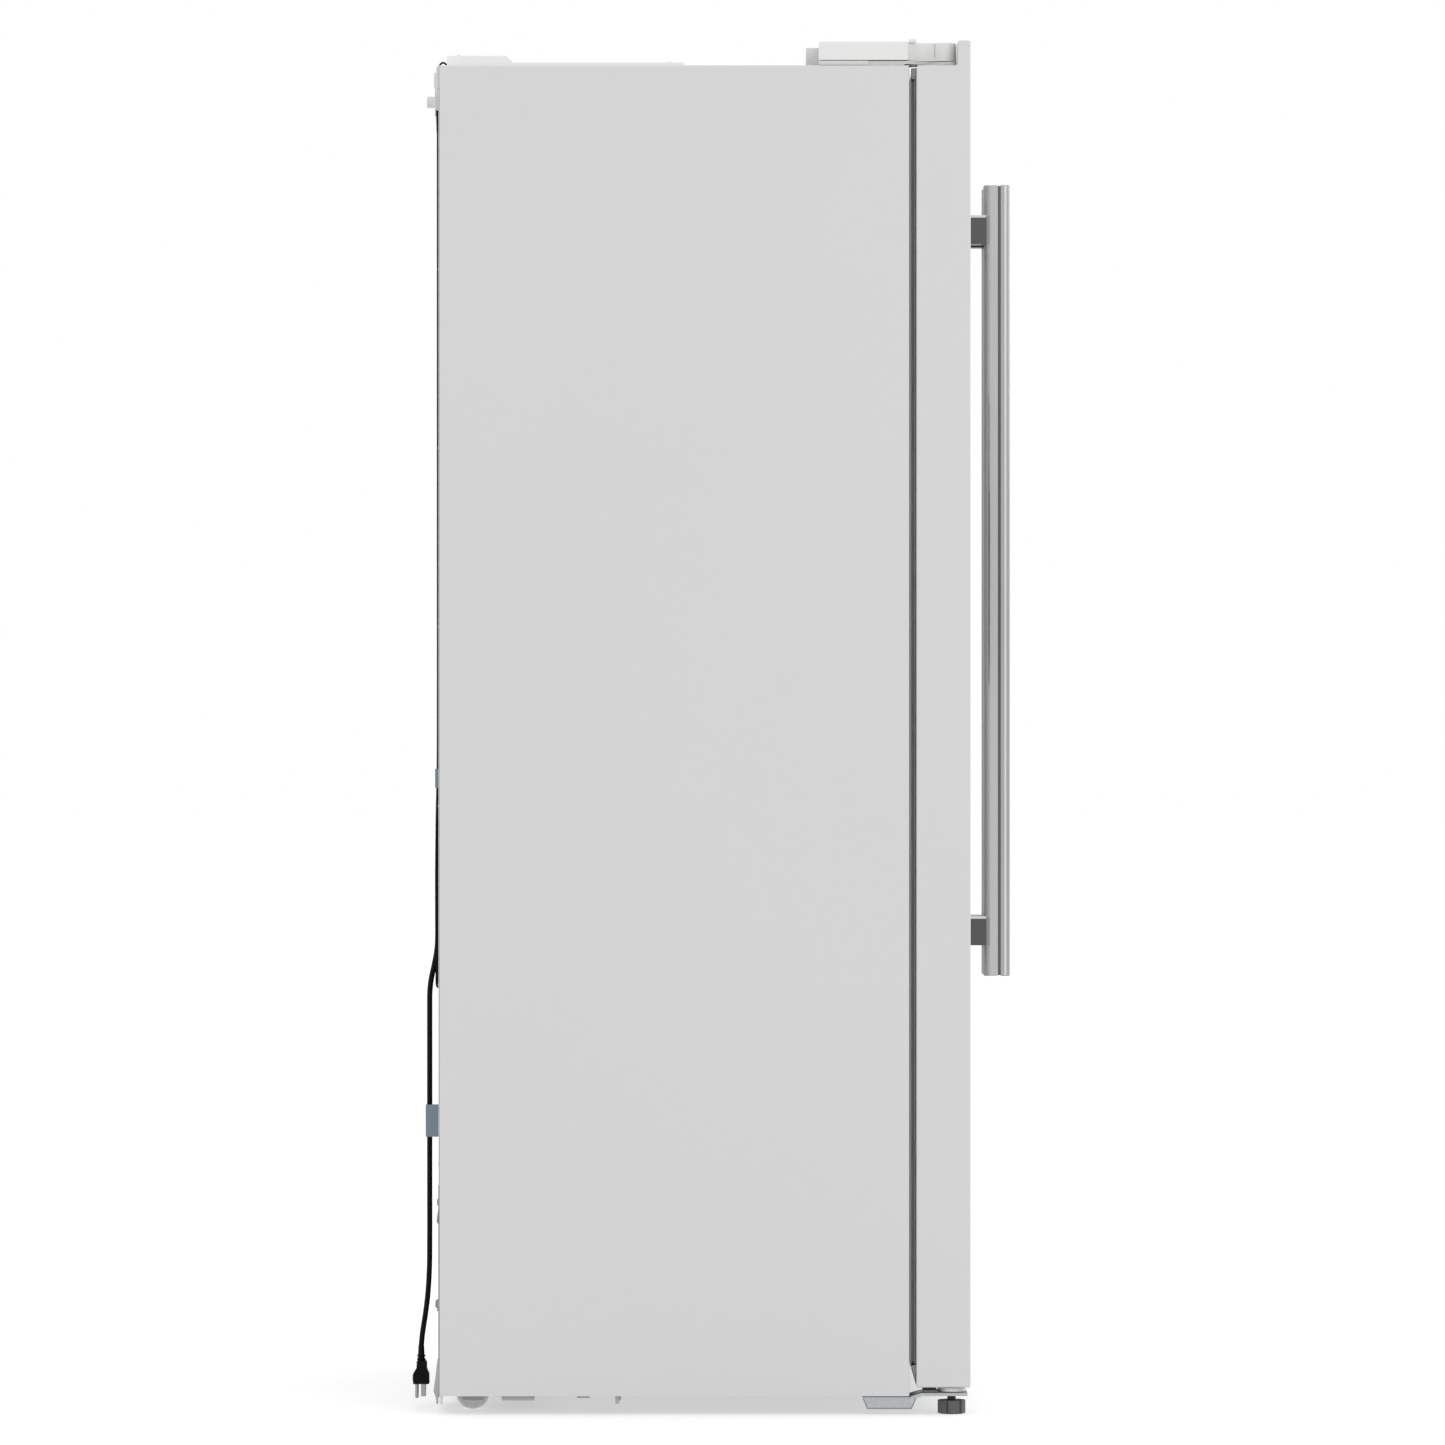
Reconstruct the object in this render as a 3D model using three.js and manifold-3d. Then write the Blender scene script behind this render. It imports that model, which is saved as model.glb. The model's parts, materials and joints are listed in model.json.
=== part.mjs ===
// Side-by-side refrigerator with two full-height French doors: the freezer is behind the left door,
// which carries an ice and water dispenser, and the fresh-food side is behind the right door.
// Millimetres. +Z is up, the doors face -Y, and the left door is at -X.
// The origin is on the floor, at the middle of the footprint over the handles and the rear fittings.

import * as THREE from 'three';
import { mergeVertices } from 'three/addons/utils/BufferGeometryUtils.js';
import Module from 'manifold-3d';

const wasm = await Module();
wasm.setup();

// ---- Driving dimensions ------------------------------------------------------------------------

const width = 838; // over the cabinet's sides
const cabinetDepth = 605; // side panels, front edge to back edge
const cabinetHeight = 1714; // side panels
const floorGap = 24; // under the side panels
const gap = 0.3; // between pieces that touch

const doorThickness = 70;
const doorGap = 9; // between the cabinet and a door, where the gasket is
const doorFloorGap = 35; // under the doors
const doorSplit = 6; // between the two doors
const splitOffset = 0; // middle of the split from the middle of the cabinet
const doorSheet = 1.2;
const lipHeight = 32; // raised front edge of a door above the cabinet's top
const lipThickness = 17;

const wrapperSheet = 1;
const wrapperFlange = 16; // front return of the wrapper
const linerThickness = 2;
const sideWall = 55; // insulated walls, outside to inside
const topWall = 60;
const floorWall = 55;
const rearWall = 62;
const dividerWall = 50;

const baseHeight = 40; // steel base tray under the insulation
const baseSheet = 1.5;
const machineDepth = 200; // compartment for the compressor
const machineHeight = 225;
const humpWall = 55; // insulation over the compartment

const hingeInset = 25; // hinge axis from the door's side
const hingeSetback = 24; // hinge axis from the door's front
const pinRadius = 5;
const pinPlay = 1.2; // between a pin and its hole
const pinLength = 22; // inside the door

const handleLength = 1056;
const handleDrop = 129; // top of the bar below the cabinet's top
const handleReach = 64; // front of the bar from the door
const handleDepth = 35; // bar, front to back
const handleWidth = 30;
const handleEdge = 34; // middle of the bar from the door's free edge
const postHeight = 38;
const postWidth = 26;
const postInset = 60; // middle of a post from the bar's end

const rollerRadius = 21.5;
const rollerWidth = 22;
const axleRadius = 4;
const footRadius = 18;
const footHeight = 18;
const stemRadius = 6;

const cordDiameter = 7;
const rearReach = 22; // clips and water fitting behind the back panel

// ---- Places worked out from them ---------------------------------------------------------------

const half = width / 2;
const overallDepth = handleReach + doorThickness + doorGap + cabinetDepth + rearReach;
const handleFront = -overallDepth / 2;
const doorFront = handleFront + handleReach;
const doorBack = doorFront + doorThickness;
const front = doorBack + doorGap; // cabinet
const back = front + cabinetDepth;
const bottom = floorGap;
const top = bottom + cabinetHeight;
const lipTop = top + lipHeight;

const trayBottom = bottom + 1;
const baseTop = trayBottom + baseHeight;
const machineTop = baseTop + machineHeight;
const machineFront = back - machineDepth;

const splitX = splitOffset;
const freezer = [-half + sideWall, splitX - dividerWall / 2]; // outside of each liner, across
const fridge = [splitX + dividerWall / 2, half - sideWall];
const linerFloor = baseTop + floorWall;
const linerTop = top - topWall;
const linerRear = back - rearWall;
const humpFront = machineFront - rearWall;
const humpTop = machineTop + humpWall;
const handleTop = top - handleDrop;

// A height inside the cabinet, as a share of the way from the liners' floor to their ceiling.
const level = (share) => linerFloor + share * (linerTop - linerFloor);

const hingeY = doorFront + hingeSetback;
const hingeX = half - hingeInset;

const dykeDepth = 25; // door liner's rim, behind the cabinet's front plane
const dykePlay = 10; // beside the rim
const dykeWidth = 22;
const pocketDepth = 12; // liner's pocket inside the door's thickness
const binReach = 90; // door bins behind the cabinet's front plane
const shelfFront = front + binReach + 12;
const drawerFront = front + dykeDepth + 85;
const coverDepth = 75; // evaporator space behind the freezer's back cover
const coverFront = linerRear - linerThickness - coverDepth;

// ---- Finishes ----------------------------------------------------------------------------------

function finish(color, roughness, metalness = 0) {
  return new THREE.MeshStandardMaterial({ color, roughness, metalness });
}

const whitePaint = finish(0xe2e2e1, 0.45);
const whitePlastic = finish(0xe9e9e8, 0.4);
const linerWhite = finish(0xf3f4f4, 0.3);
const foam = finish(0xe6d9a8, 0.95);
const zincSteel = finish(0xaab2b6, 0.4, 0.8);
const darkRubber = finish(0x5a5a5a, 0.7);
const blackPlastic = finish(0x161718, 0.5);
const greyPlastic = finish(0x585858, 0.6);
const polishedSteel = finish(0xb9bbbb, 0.18, 1);
const darkSteel = finish(0x6a6a6a, 0.3, 0.9);
const glass = finish(0xcfe4df, 0.05);
const clearPlastic = finish(0xdfe8ee, 0.15);
const blackPaint = finish(0x1c1d1f, 0.5, 0.2);
const copper = finish(0x2b2b2c, 0.4, 0.6);
const aluminium = finish(0xc8ccce, 0.35, 0.9);
const clipPlastic = finish(0x7f8e98, 0.5);

// ---- Solids ------------------------------------------------------------------------------------

function toSolid(geometry) {
  const bare = geometry.clone();
  bare.deleteAttribute('normal');
  bare.deleteAttribute('uv');
  const merged = mergeVertices(bare, 1e-4);
  return new wasm.Manifold(new wasm.Mesh({
    numProp: 3,
    vertProperties: merged.attributes.position.array,
    triVerts: new Uint32Array(merged.index.array),
  }));
}

function toGeometry(solid) {
  const mesh = solid.getMesh();
  const geometry = new THREE.BufferGeometry();
  geometry.setAttribute('position', new THREE.BufferAttribute(mesh.vertProperties.slice(), 3));
  geometry.setIndex(new THREE.BufferAttribute(mesh.triVerts.slice(), 1));
  return geometry;
}

function join(first, ...others) {
  return toGeometry(others.reduce((sum, each) => sum.add(toSolid(each)), toSolid(first)));
}

function cut(first, ...others) {
  return toGeometry(others.reduce((rest, each) => rest.subtract(toSolid(each)), toSolid(first)));
}

// A box between two values along each axis, given in either order.
function block(x, y, z) {
  const [dx, dy, dz] = [x, y, z].map(([a, b]) => Math.abs(b - a));
  const [mx, my, mz] = [x, y, z].map(([a, b]) => (a + b) / 2);
  return new THREE.BoxGeometry(dx, dy, dz).translate(mx, my, mz);
}

// An outline of [across, up] points pushed along one axis between two values.
function extruded(outline, [from, to], basis) {
  const shape = outline instanceof THREE.Shape
    ? outline
    : new THREE.Shape(outline.map(([a, b]) => new THREE.Vector2(a, b)));
  const low = Math.min(from, to);
  const geometry = new THREE.ExtrudeGeometry(shape, {
    depth: Math.abs(to - from), bevelEnabled: false, curveSegments: 6,
  });
  return geometry.translate(0, 0, low).applyMatrix4(basis);
}

const alongX = (outline, range) => extruded(outline, range, new THREE.Matrix4().makeBasis(
  new THREE.Vector3(0, 1, 0), new THREE.Vector3(0, 0, 1), new THREE.Vector3(1, 0, 0)));
const alongZ = (outline, range) => extruded(outline, range, new THREE.Matrix4());

// Round bars along each axis; the middle of the circle comes as the two other coordinates.
function rodZ(radius, x, y, [low, high], sides = 16) {
  return new THREE.CylinderGeometry(radius, radius, high - low, sides)
    .rotateX(Math.PI / 2).translate(x, y, (low + high) / 2);
}

function rodX(radius, [low, high], y, z, sides = 16) {
  return new THREE.CylinderGeometry(radius, radius, high - low, sides)
    .rotateZ(Math.PI / 2).translate((low + high) / 2, y, z);
}

function rodY(radius, x, [low, high], z, sides = 16) {
  return new THREE.CylinderGeometry(radius, radius, high - low, sides)
    .translate(x, (low + high) / 2, z);
}

function grown([low, high], by) {
  return [low - by, high + by];
}

const refrigerator = new THREE.Group();

function add(name, geometry, material, place = [0, 0, 0]) {
  const mesh = new THREE.Mesh(geometry, material);
  mesh.name = name;
  mesh.position.set(...place);
  refrigerator.add(mesh);
  return mesh;
}

// ---- Cabinet shell -----------------------------------------------------------------------------

function addWrapper() {
  const outside = block([-half, half], [front, back], [bottom, top]);
  const inside = block(grown([-half, half], -wrapperSheet), [front + wrapperSheet, back + 1],
    [bottom - 1, top - wrapperSheet]);
  const opening = block(grown([-half, half], -wrapperFlange), [front - 1, front + 2 * wrapperSheet],
    [bottom - 1, top - wrapperFlange]);
  add('cabinet_wrapper', cut(outside, inside, opening), whitePaint);
}

const shellAcross = grown([-half, half], -wrapperSheet - gap); // inside the wrapper
const seam = machineTop + 3; // between the back panel and the compressor cover

function addBackPanel() {
  const panel = block(shellAcross, [back - wrapperSheet, back], [seam, top - wrapperSheet - gap]);
  const ribs = [];
  for (const x of [-210, 0, 210]) {
    ribs.push(block([x - 14, x + 14], [back - 0.5, back + 2.5], [seam + 60, top - 160]));
  }
  add('back_panel', join(panel, ...ribs), zincSteel);
}

// Side profile of a liner, [depth, height], shrunk inwards on every wall but the open front.
function linerProfile(inset, frontY) {
  return [
    [frontY, linerFloor + inset],
    [humpFront - inset, linerFloor + inset],
    [humpFront - inset, humpTop + inset],
    [linerRear - inset, humpTop + inset],
    [linerRear - inset, linerTop - inset],
    [frontY, linerTop - inset],
  ];
}

function addInsulation() {
  const body = block(shellAcross, [front + linerThickness + gap, back - wrapperSheet - gap],
    [baseTop + gap, top - wrapperSheet - gap]);
  const compartment = block([-width, width], [machineFront, back + 1], [0, machineTop]);
  const cavities = [freezer, fridge].map((across) =>
    alongX(linerProfile(-gap, front - 1), grown(across, gap)));
  add('cabinet_insulation', cut(body, compartment, ...cavities), foam);
}

const shelfLedge = { depth: 9, height: 6 };

// A liner is an open box with a step over the compressor, a front flange and ledges for the shelves.
function linerGeometry(across, flangeAcross, ledges) {
  const outside = alongX(linerProfile(0, front), across);
  const inside = alongX(linerProfile(linerThickness, front - 1), grown(across, -linerThickness));
  const flange = block(flangeAcross, [front, front + linerThickness],
    [baseTop + gap, top - wrapperFlange - gap]);
  const ledgeBars = ledges.flatMap(({ z, from, to }) => across.map((wall, side) => {
    const inner = wall + (side ? -linerThickness : linerThickness);
    const outer = inner + (side ? 0.5 : -0.5);
    const edge = inner + (side ? -shelfLedge.depth : shelfLedge.depth);
    return block([outer, edge], [from, to], [z - shelfLedge.height, z]);
  }));
  return join(cut(join(outside, flange), inside), ...ledgeBars);
}

// ---- Shelves and drawers -----------------------------------------------------------------------

const shelfThickness = 5;
const drawerPlay = 3; // beside a drawer
const drawerWall = 2.5;
const drawerFloor = humpTop + 27; // drawers over the compressor
const crisperHeight = 225;
const freezerDrawerHeight = 190;
const crisperHeadroom = 63;
const drawers = {
  freezer_drawer_upper: {
    across: freezer, floor: drawerFloor, height: freezerDrawerHeight, rear: coverFront - 8,
  },
  freezer_drawer_lower: { across: freezer, floor: linerFloor + 8, height: 200, rear: humpFront - 8 },
  crisper_drawer: { across: fridge, floor: drawerFloor, height: crisperHeight, rear: linerRear - 40 },
};
const fridgeShelves = {
  fridge_shelf_upper: level(0.7766),
  fridge_shelf_lower: level(0.5648),
  crisper_cover: drawerFloor + crisperHeight + crisperHeadroom,
};
const freezerShelves = { freezer_shelf_upper: level(0.6804), freezer_shelf_lower: level(0.475) };

function addLiners() {
  const ledgesFor = (levels, names) => [
    ...Object.values(levels).map((z) => ({ z: z - gap, from: front + 60, to: coverFront - 20 })),
    ...names.map((name) => ({
      z: drawers[name].floor - gap, from: front + 60, to: drawers[name].rear,
    })),
  ];
  const freezerFlange = [-half + wrapperFlange + gap, splitX - gap];
  const fridgeFlange = [splitX + gap, half - wrapperFlange - gap];
  add('freezer_liner', linerGeometry(freezer, freezerFlange,
    ledgesFor(freezerShelves, ['freezer_drawer_upper', 'freezer_drawer_lower'])), linerWhite);
  add('fridge_liner', linerGeometry(fridge, fridgeFlange,
    ledgesFor(fridgeShelves, ['crisper_drawer'])), linerWhite);
}

function addShelves() {
  const place = (levels, across, rear) => {
    for (const [name, z] of Object.entries(levels)) {
      add(name, block(grown(across, -linerThickness - 1), [shelfFront, rear], [z, z + shelfThickness]),
        glass);
    }
  };
  place(fridgeShelves, fridge, linerRear - 40);
  place(freezerShelves, freezer, coverFront - 4);
}

function addDrawers() {
  for (const [name, { across, floor, height, rear }] of Object.entries(drawers)) {
    const outer = grown(across, -linerThickness - drawerPlay);
    const tub = cut(
      block(outer, [drawerFront, rear], [floor, floor + height]),
      block(grown(outer, -drawerWall), [drawerFront + 2 * drawerWall, rear - drawerWall],
        [floor + drawerWall, floor + height + 1]),
    );
    const middle = (outer[0] + outer[1]) / 2;
    const grip = block([middle - 60, middle + 60], [drawerFront - 1, drawerFront + 2 * drawerWall + 1],
      [floor + height - 22, floor + height + 1]);
    add(name, cut(tub, grip), clearPlastic);
  }
}

// ---- Freezer works -----------------------------------------------------------------------------

const iceMakerHeight = 228; // below the liner's ceiling
const coverBottom = humpTop + linerThickness + 3;
const coverHigh = linerTop - iceMakerHeight - 150;
const evaporatorFanZ = coverHigh - 260;
const evaporatorFanRadius = 50;
const motorRadius = 17;
const shaftRadius = 2.5;

function addFreezerBackCover() {
  const across = grown(freezer, -linerThickness - 1);
  const middle = (across[0] + across[1]) / 2;
  const sheetY = [coverFront, coverFront + 3];
  const slots = [];
  for (const z of [coverBottom + 110, coverHigh - 80, coverHigh - 50]) {
    for (const x of [-84, -28, 28, 84]) {
      slots.push(block([middle + x - 20, middle + x + 20], grown(sheetY, 1), [z, z + 9]));
    }
  }
  const fanHole = rodY(evaporatorFanRadius + 5, middle, grown(sheetY, 1), evaporatorFanZ, 24);
  const spokes = [
    block([middle - 56, middle + 56], sheetY, [evaporatorFanZ - 4, evaporatorFanZ + 4]),
    block([middle - 4, middle + 4], sheetY, [evaporatorFanZ - 56, evaporatorFanZ + 56]),
  ];
  const motor = rodY(motorRadius, middle, [coverFront, coverFront + 24], evaporatorFanZ);
  const shaft = rodY(shaftRadius, middle, [coverFront + 20, coverFront + 50], evaporatorFanZ, 12);
  const cap = block(across, [coverFront, linerRear - linerThickness - gap], [coverHigh - 3, coverHigh]);
  const plate = cut(block(across, sheetY, [coverBottom, coverHigh]), ...slots, fanHole);
  add('freezer_back_cover', join(plate, ...spokes, motor, shaft, cap), whitePlastic);
}

// An axial fan on the +Y axis through its own origin: a bored hub with pitched blades.
function fanGeometry(radius, hubRadius, depth, bladeCount) {
  const hub = rodY(hubRadius, 0, [-depth / 2, depth / 2], 0, 20);
  const blades = [];
  for (let i = 0; i < bladeCount; i++) {
    const reach = radius - hubRadius + 3;
    blades.push(new THREE.BoxGeometry(reach, 1.8, radius * 0.62)
      .rotateX(0.55)
      .translate(hubRadius - 3 + reach / 2, 0, 0)
      .rotateY((i * 2 * Math.PI) / bladeCount));
  }
  const disc = rodY(radius, 0, [-depth, depth], 0, 24);
  const blunt = toGeometry(toSolid(join(hub, ...blades)).intersect(toSolid(disc)));
  return cut(blunt, rodY(shaftRadius + 0.4, 0, [-depth, depth], 0, 12));
}

function addEvaporator() {
  const middle = (freezer[0] + freezer[1]) / 2;
  const [low, high] = [0.217, 0.594].map((share) =>
    coverBottom + share * (evaporatorFanZ - coverBottom));
  const finCount = 9;
  const spread = 250;
  const deep = [coverFront + 12, linerRear - linerThickness - 8];
  const fins = [];
  for (let i = 0; i < finCount; i++) {
    const x = middle - spread / 2 + (i * spread) / (finCount - 1);
    fins.push(block([x - 1, x + 1], deep, [low, high]));
  }
  const tubes = [];
  for (let i = 0; i < 3; i++) {
    const z = low + 30 + (i * (high - low - 60)) / 2;
    tubes.push(rodX(4.5, [middle - spread / 2 - 10, middle + spread / 2 + 10],
      (deep[0] + deep[1]) / 2, z, 6));
  }
  const header = block([middle + spread / 2 + 2, middle + spread / 2 + 8],
    [(deep[0] + deep[1]) / 2 - 4, (deep[0] + deep[1]) / 2 + 4], [low + 26, high - 26]);
  add('evaporator', join(tubes[0], ...tubes.slice(1), header, ...fins), aluminium);
  const fan = fanGeometry(evaporatorFanRadius, 16, 14, 5);
  add('evaporator_fan', fan, whitePlastic, [middle, coverFront + 38, evaporatorFanZ]);
}

function addIceMaker() {
  const across = grown(freezer, -linerThickness - 20);
  const y = [shelfFront + 10, coverFront - 20];
  const z = [linerTop - iceMakerHeight, linerTop - linerThickness - 6];
  const bin = cut(block(across, y, [z[0], z[0] + 110]),
    block(grown(across, -3), grown(y, -3), [z[0] + 3, z[0] + 111]));
  const wall = block([across[1] - 40, across[1]], y, [z[0] + 60, z[1]]);
  const tray = cut(block([across[0] + 30, across[1] - 10], [y[0] + 60, y[0] + 150], [z[1] - 70, z[1]]),
    block([across[0] + 36, across[1] - 44], [y[0] + 66, y[0] + 144], [z[1] - 40, z[1] + 1]));
  add('ice_maker', join(bin, wall, tray), whitePlastic);
}

function addAirDuct() {
  const middle = (fridge[0] + fridge[1]) / 2;
  const across = [middle - 80, middle + 80];
  const y = [linerRear - linerThickness - gap - 26, linerRear - linerThickness - gap];
  const z = [level(0.385), level(0.963)];
  const slots = [0.045, 0.41, 0.78, 0.93].map((share) => {
    const low = z[0] + share * (z[1] - z[0]);
    return block([middle - 45, middle + 45], [y[0] - 1, y[0] + 4], [low, low + 12]);
  });
  const shell = cut(block(across, y, z), block(grown(across, -2.5), [y[0] + 2.5, y[1] + 1], grown(z, -2.5)));
  add('fridge_air_duct', cut(shell, ...slots), whitePlastic);
}

// ---- Base and machine compartment --------------------------------------------------------------

const rollerX = half - 94;
const rollerY = back - 40;
const rollerZ = rollerRadius;
const earThickness = 3;
const sumpAcross = [-330, -70];

function addBase() {
  const across = shellAcross;
  const deep = [front + linerThickness + gap, back - wrapperSheet - gap];
  const tray = cut(block(across, deep, [trayBottom, baseTop]),
    block(grown(across, -baseSheet), grown(deep, -baseSheet), [trayBottom + baseSheet, baseTop + 1]));
  const holes = [];
  const extras = [];
  for (const side of [-1, 1]) {
    const x = side * rollerX;
    const wheel = [x - rollerWidth / 2 - 2, x + rollerWidth / 2 + 2];
    holes.push(block(wheel, [rollerY - rollerRadius - 4, rollerY + rollerRadius + 4],
      [trayBottom - 1, trayBottom + baseSheet + 1]));
    for (const inner of wheel) {
      const outer = inner === wheel[0] ? inner - earThickness : inner + earThickness;
      extras.push(block([inner, outer], [rollerY - 12, rollerY + 12], [rollerZ - 9, trayBottom + 1]));
    }
    extras.push(rodX(axleRadius, [wheel[0] - 1, wheel[1] + 1], rollerY, rollerZ, 12));
    // Lugs under the side of the tray.
    extras.push(alongX([[back - 233, 16], [back - 227, 19], [back - 227, trayBottom + 0.5],
      [back - 233, trayBottom + 0.5]], [x + side * 30, x + side * 70]));
    extras.push(block([x + side * 40, x + side * 80], [back - 193, back - 178], [20.5, trayBottom + 0.5]));
  }
  const sumpHole = block(grown(sumpAcross, 1), [back - 126, back - 79], [trayBottom - 1, trayBottom + 3]);
  add('base_frame', join(cut(tray, ...holes, sumpHole), ...extras), zincSteel);
}

function addDrainPan() {
  const rim = [trayBottom + baseSheet + gap, trayBottom + 34];
  const deep = [machineFront + 12, back - 70];
  const upper = cut(block(grown(sumpAcross, 8), deep, rim),
    block(grown(sumpAcross, 6), grown(deep, -2), [rim[0] + 2, rim[1] + 1]));
  const sump = cut(block(sumpAcross, [back - 125, back - 80], [20, rim[0] + 2]),
    block(grown(sumpAcross, -2), [back - 123, back - 82], [22, rim[1]]));
  add('drain_pan', join(cut(upper, block(grown(sumpAcross, -2), [back - 123, back - 82], [20, rim[1]])),
    sump), greyPlastic);
}

function addCompressor() {
  const [x, y] = [210, machineFront + 98];
  const floor = trayBottom + baseSheet + gap;
  const profile = [[0, 0], [62, 0], [70, 10], [72, 60], [72, 66], [76, 66], [76, 72], [71, 72], [70, 120],
    [60, 145], [36, 160], [0, 165]].map(([r, h]) => new THREE.Vector2(r, h));
  const pot = new THREE.LatheGeometry(profile, 24).rotateX(Math.PI / 2).translate(x, y, floor + 14);
  const plate = block([x - 100, x + 100], [y - 62, y + 62], [floor + 11, floor + 15]);
  const feet = [];
  for (const dx of [-85, 85]) {
    for (const dy of [-48, 48]) {
      feet.push(rodZ(10, x + dx, y + dy, [floor, floor + 12], 10));
    }
  }
  const relay = block([x - 30, x + 30], [y - 94, y - 60], [floor + 50, floor + 110]);
  add('compressor', join(pot, plate, ...feet, relay), blackPaint);
}

function addCondenser() {
  const [left, right] = [-370, -90];
  const pitch = 32;
  const passes = 6;
  const bend = pitch / 2;
  const y = machineFront + 60;
  const start = baseTop + 10;
  const path = new THREE.CurvePath();
  for (let i = 0; i < passes; i++) {
    const z = start + i * pitch;
    const [from, to] = i % 2 ? [right, left] : [left, right];
    path.add(new THREE.LineCurve3(new THREE.Vector3(from, y, z), new THREE.Vector3(to, y, z)));
    if (i === passes - 1) break;
    const turn = i % 2 ? -1 : 1;
    let previous = new THREE.Vector3(to, y, z);
    for (let k = 1; k <= 5; k++) {
      const angle = -Math.PI / 2 + (k * Math.PI) / 5;
      const next = new THREE.Vector3(to + turn * bend * Math.cos(angle), y, z + bend + bend * Math.sin(angle));
      path.add(new THREE.LineCurve3(previous, next));
      previous = next;
    }
  }
  const section = new THREE.Shape();
  section.absarc(0, 0, 4, 0, 2 * Math.PI);
  const tube = new THREE.ExtrudeGeometry(section, { extrudePath: path, steps: 84, curveSegments: 3 });
  const plates = [left + 40, (left + right) / 2, right - 40].map((x) =>
    block([x - 1, x + 1], [y - 14, y + 14], [trayBottom + 40, start + (passes - 1) * pitch + 14]));
  add('condenser_coil', join(tube, ...plates), copper);
}

const condenserFanX = 10;
const condenserFanY = machineFront + 92;
const condenserFanZ = baseTop + 95;
const condenserFanRadius = 62;

function addCondenserFan() {
  const x = [condenserFanX - 34, condenserFanX - 31];
  const plate = cut(block(x, [machineFront + 10, back - 12], [trayBottom + baseSheet + gap, machineTop - 12]),
    rodX(condenserFanRadius + 5, grown(x, 1), condenserFanY, condenserFanZ, 24));
  const spokes = [
    block(x, [condenserFanY - 70, condenserFanY + 70], [condenserFanZ - 4, condenserFanZ + 4]),
    block(x, [condenserFanY - 4, condenserFanY + 4], [condenserFanZ - 70, condenserFanZ + 70]),
  ];
  const motor = rodX(20, [x[0] - 20, x[1]], condenserFanY, condenserFanZ);
  const shaft = rodX(shaftRadius, [x[0], condenserFanX + 8], condenserFanY, condenserFanZ, 12);
  add('condenser_fan_shroud', join(plate, ...spokes, motor, shaft), greyPlastic);
  const fan = add('condenser_fan', fanGeometry(condenserFanRadius, 20, 18, 5), blackPlastic,
    [condenserFanX - 6, condenserFanY, condenserFanZ]);
  fan.rotation.z = -Math.PI / 2;
}

function addMachineCover() {
  const across = grown(shellAcross, -6);
  const y = [back - wrapperSheet, back];
  const low = bottom + 10;
  const sheetPlate = block(across, y, [low, seam - gap]);
  const slots = [];
  const louvres = [];
  for (const z of [124, 242]) {
    for (let i = 0; i < 9; i++) {
      const x = -300 + i * 75;
      slots.push(block([x - 26, x + 26], grown(y, 1), [z + 2, z + 18]));
      louvres.push(alongX([[back - 0.5, z + 20], [back + 7, z + 4], [back + 7, z + 2.5], [back + 5.5, z + 2.5],
        [back - 0.5, z + 16]], [x - 28, x + 28]));
    }
  }
  // The guard at the bottom bellies out and hangs below the cabinet.
  const guard = alongX([[back - 0.5, 66], [back + 6, 40], [back + 8, 31], [back + 5.5, 22], [back + 5, 16],
    [back + 3.5, 16], [back + 3.5, 22], [back + 6, 31], [back + 4, 40], [back - 0.5, 58]], [-380, -230]);
  add('machine_cover', join(cut(sheetPlate, ...slots), ...louvres, guard), zincSteel);
}

// ---- Hinges, feet and rollers ------------------------------------------------------------------

const plateThickness = 4;
const topPlateLow = top + 2;
const bracketWidth = 56;
const bracketEdge = 7; // bracket's outer edge from the cabinet's side
const bracketReach = 80; // over the cabinet, behind its front edge

// Turns an outline of [inboard of the hinge axis, behind it] points into plan coordinates for one side.
function aroundHinge(side, points) {
  return points.map(([inboard, behind]) => [side * (hingeX - inboard), hingeY + behind]);
}

const toFront = front - hingeY; // hinge axis to the cabinet's front edge

// The lip of an open door swings round behind the axis, so the bracket and its cover keep inboard there.
function addTopHinge(name, side) {
  const outer = bracketEdge - hingeInset;
  const inner = outer + bracketWidth;
  const plate = alongZ(aroundHinge(side, [
    [-5, 3], [3.5, 27], [outer, toFront + 2], [outer, toFront + bracketReach],
    [inner, toFront + bracketReach], [inner, toFront + 2], [24, 20], [10, -5], [2, -6.2], [-3.5, -4.8],
  ]), [topPlateLow, topPlateLow + plateThickness]);
  const wide = [side * (half - bracketEdge), side * (half - bracketEdge - bracketWidth)];
  const pad = block(wide, [front + 6, front + bracketReach], [top + gap, topPlateLow + 1]);
  const pin = rodZ(pinRadius, side * hingeX, hingeY, [top - pinLength, topPlateLow + 1], 16);
  const bolts = [30, 62].flatMap((y) => [18, 42].map((x) =>
    rodZ(5.5, wide[0] - side * x, front + y, [topPlateLow + 1, topPlateLow + plateThickness + 4], 6)));
  add(name, join(plate, pad, pin, ...bolts), zincSteel);
}

const coverLow = top + 7;
const coverTop = top + 30.5;
const coverBack = 116; // behind the cabinet's front edge
const coverInboard = 98; // from the cabinet's side
const coverMargin = 4; // cover's outer edge from the cabinet's side
const cap = { inboard: 11, behind: 8, radius: 14 }; // round end over the pin, from the hinge axis

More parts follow.
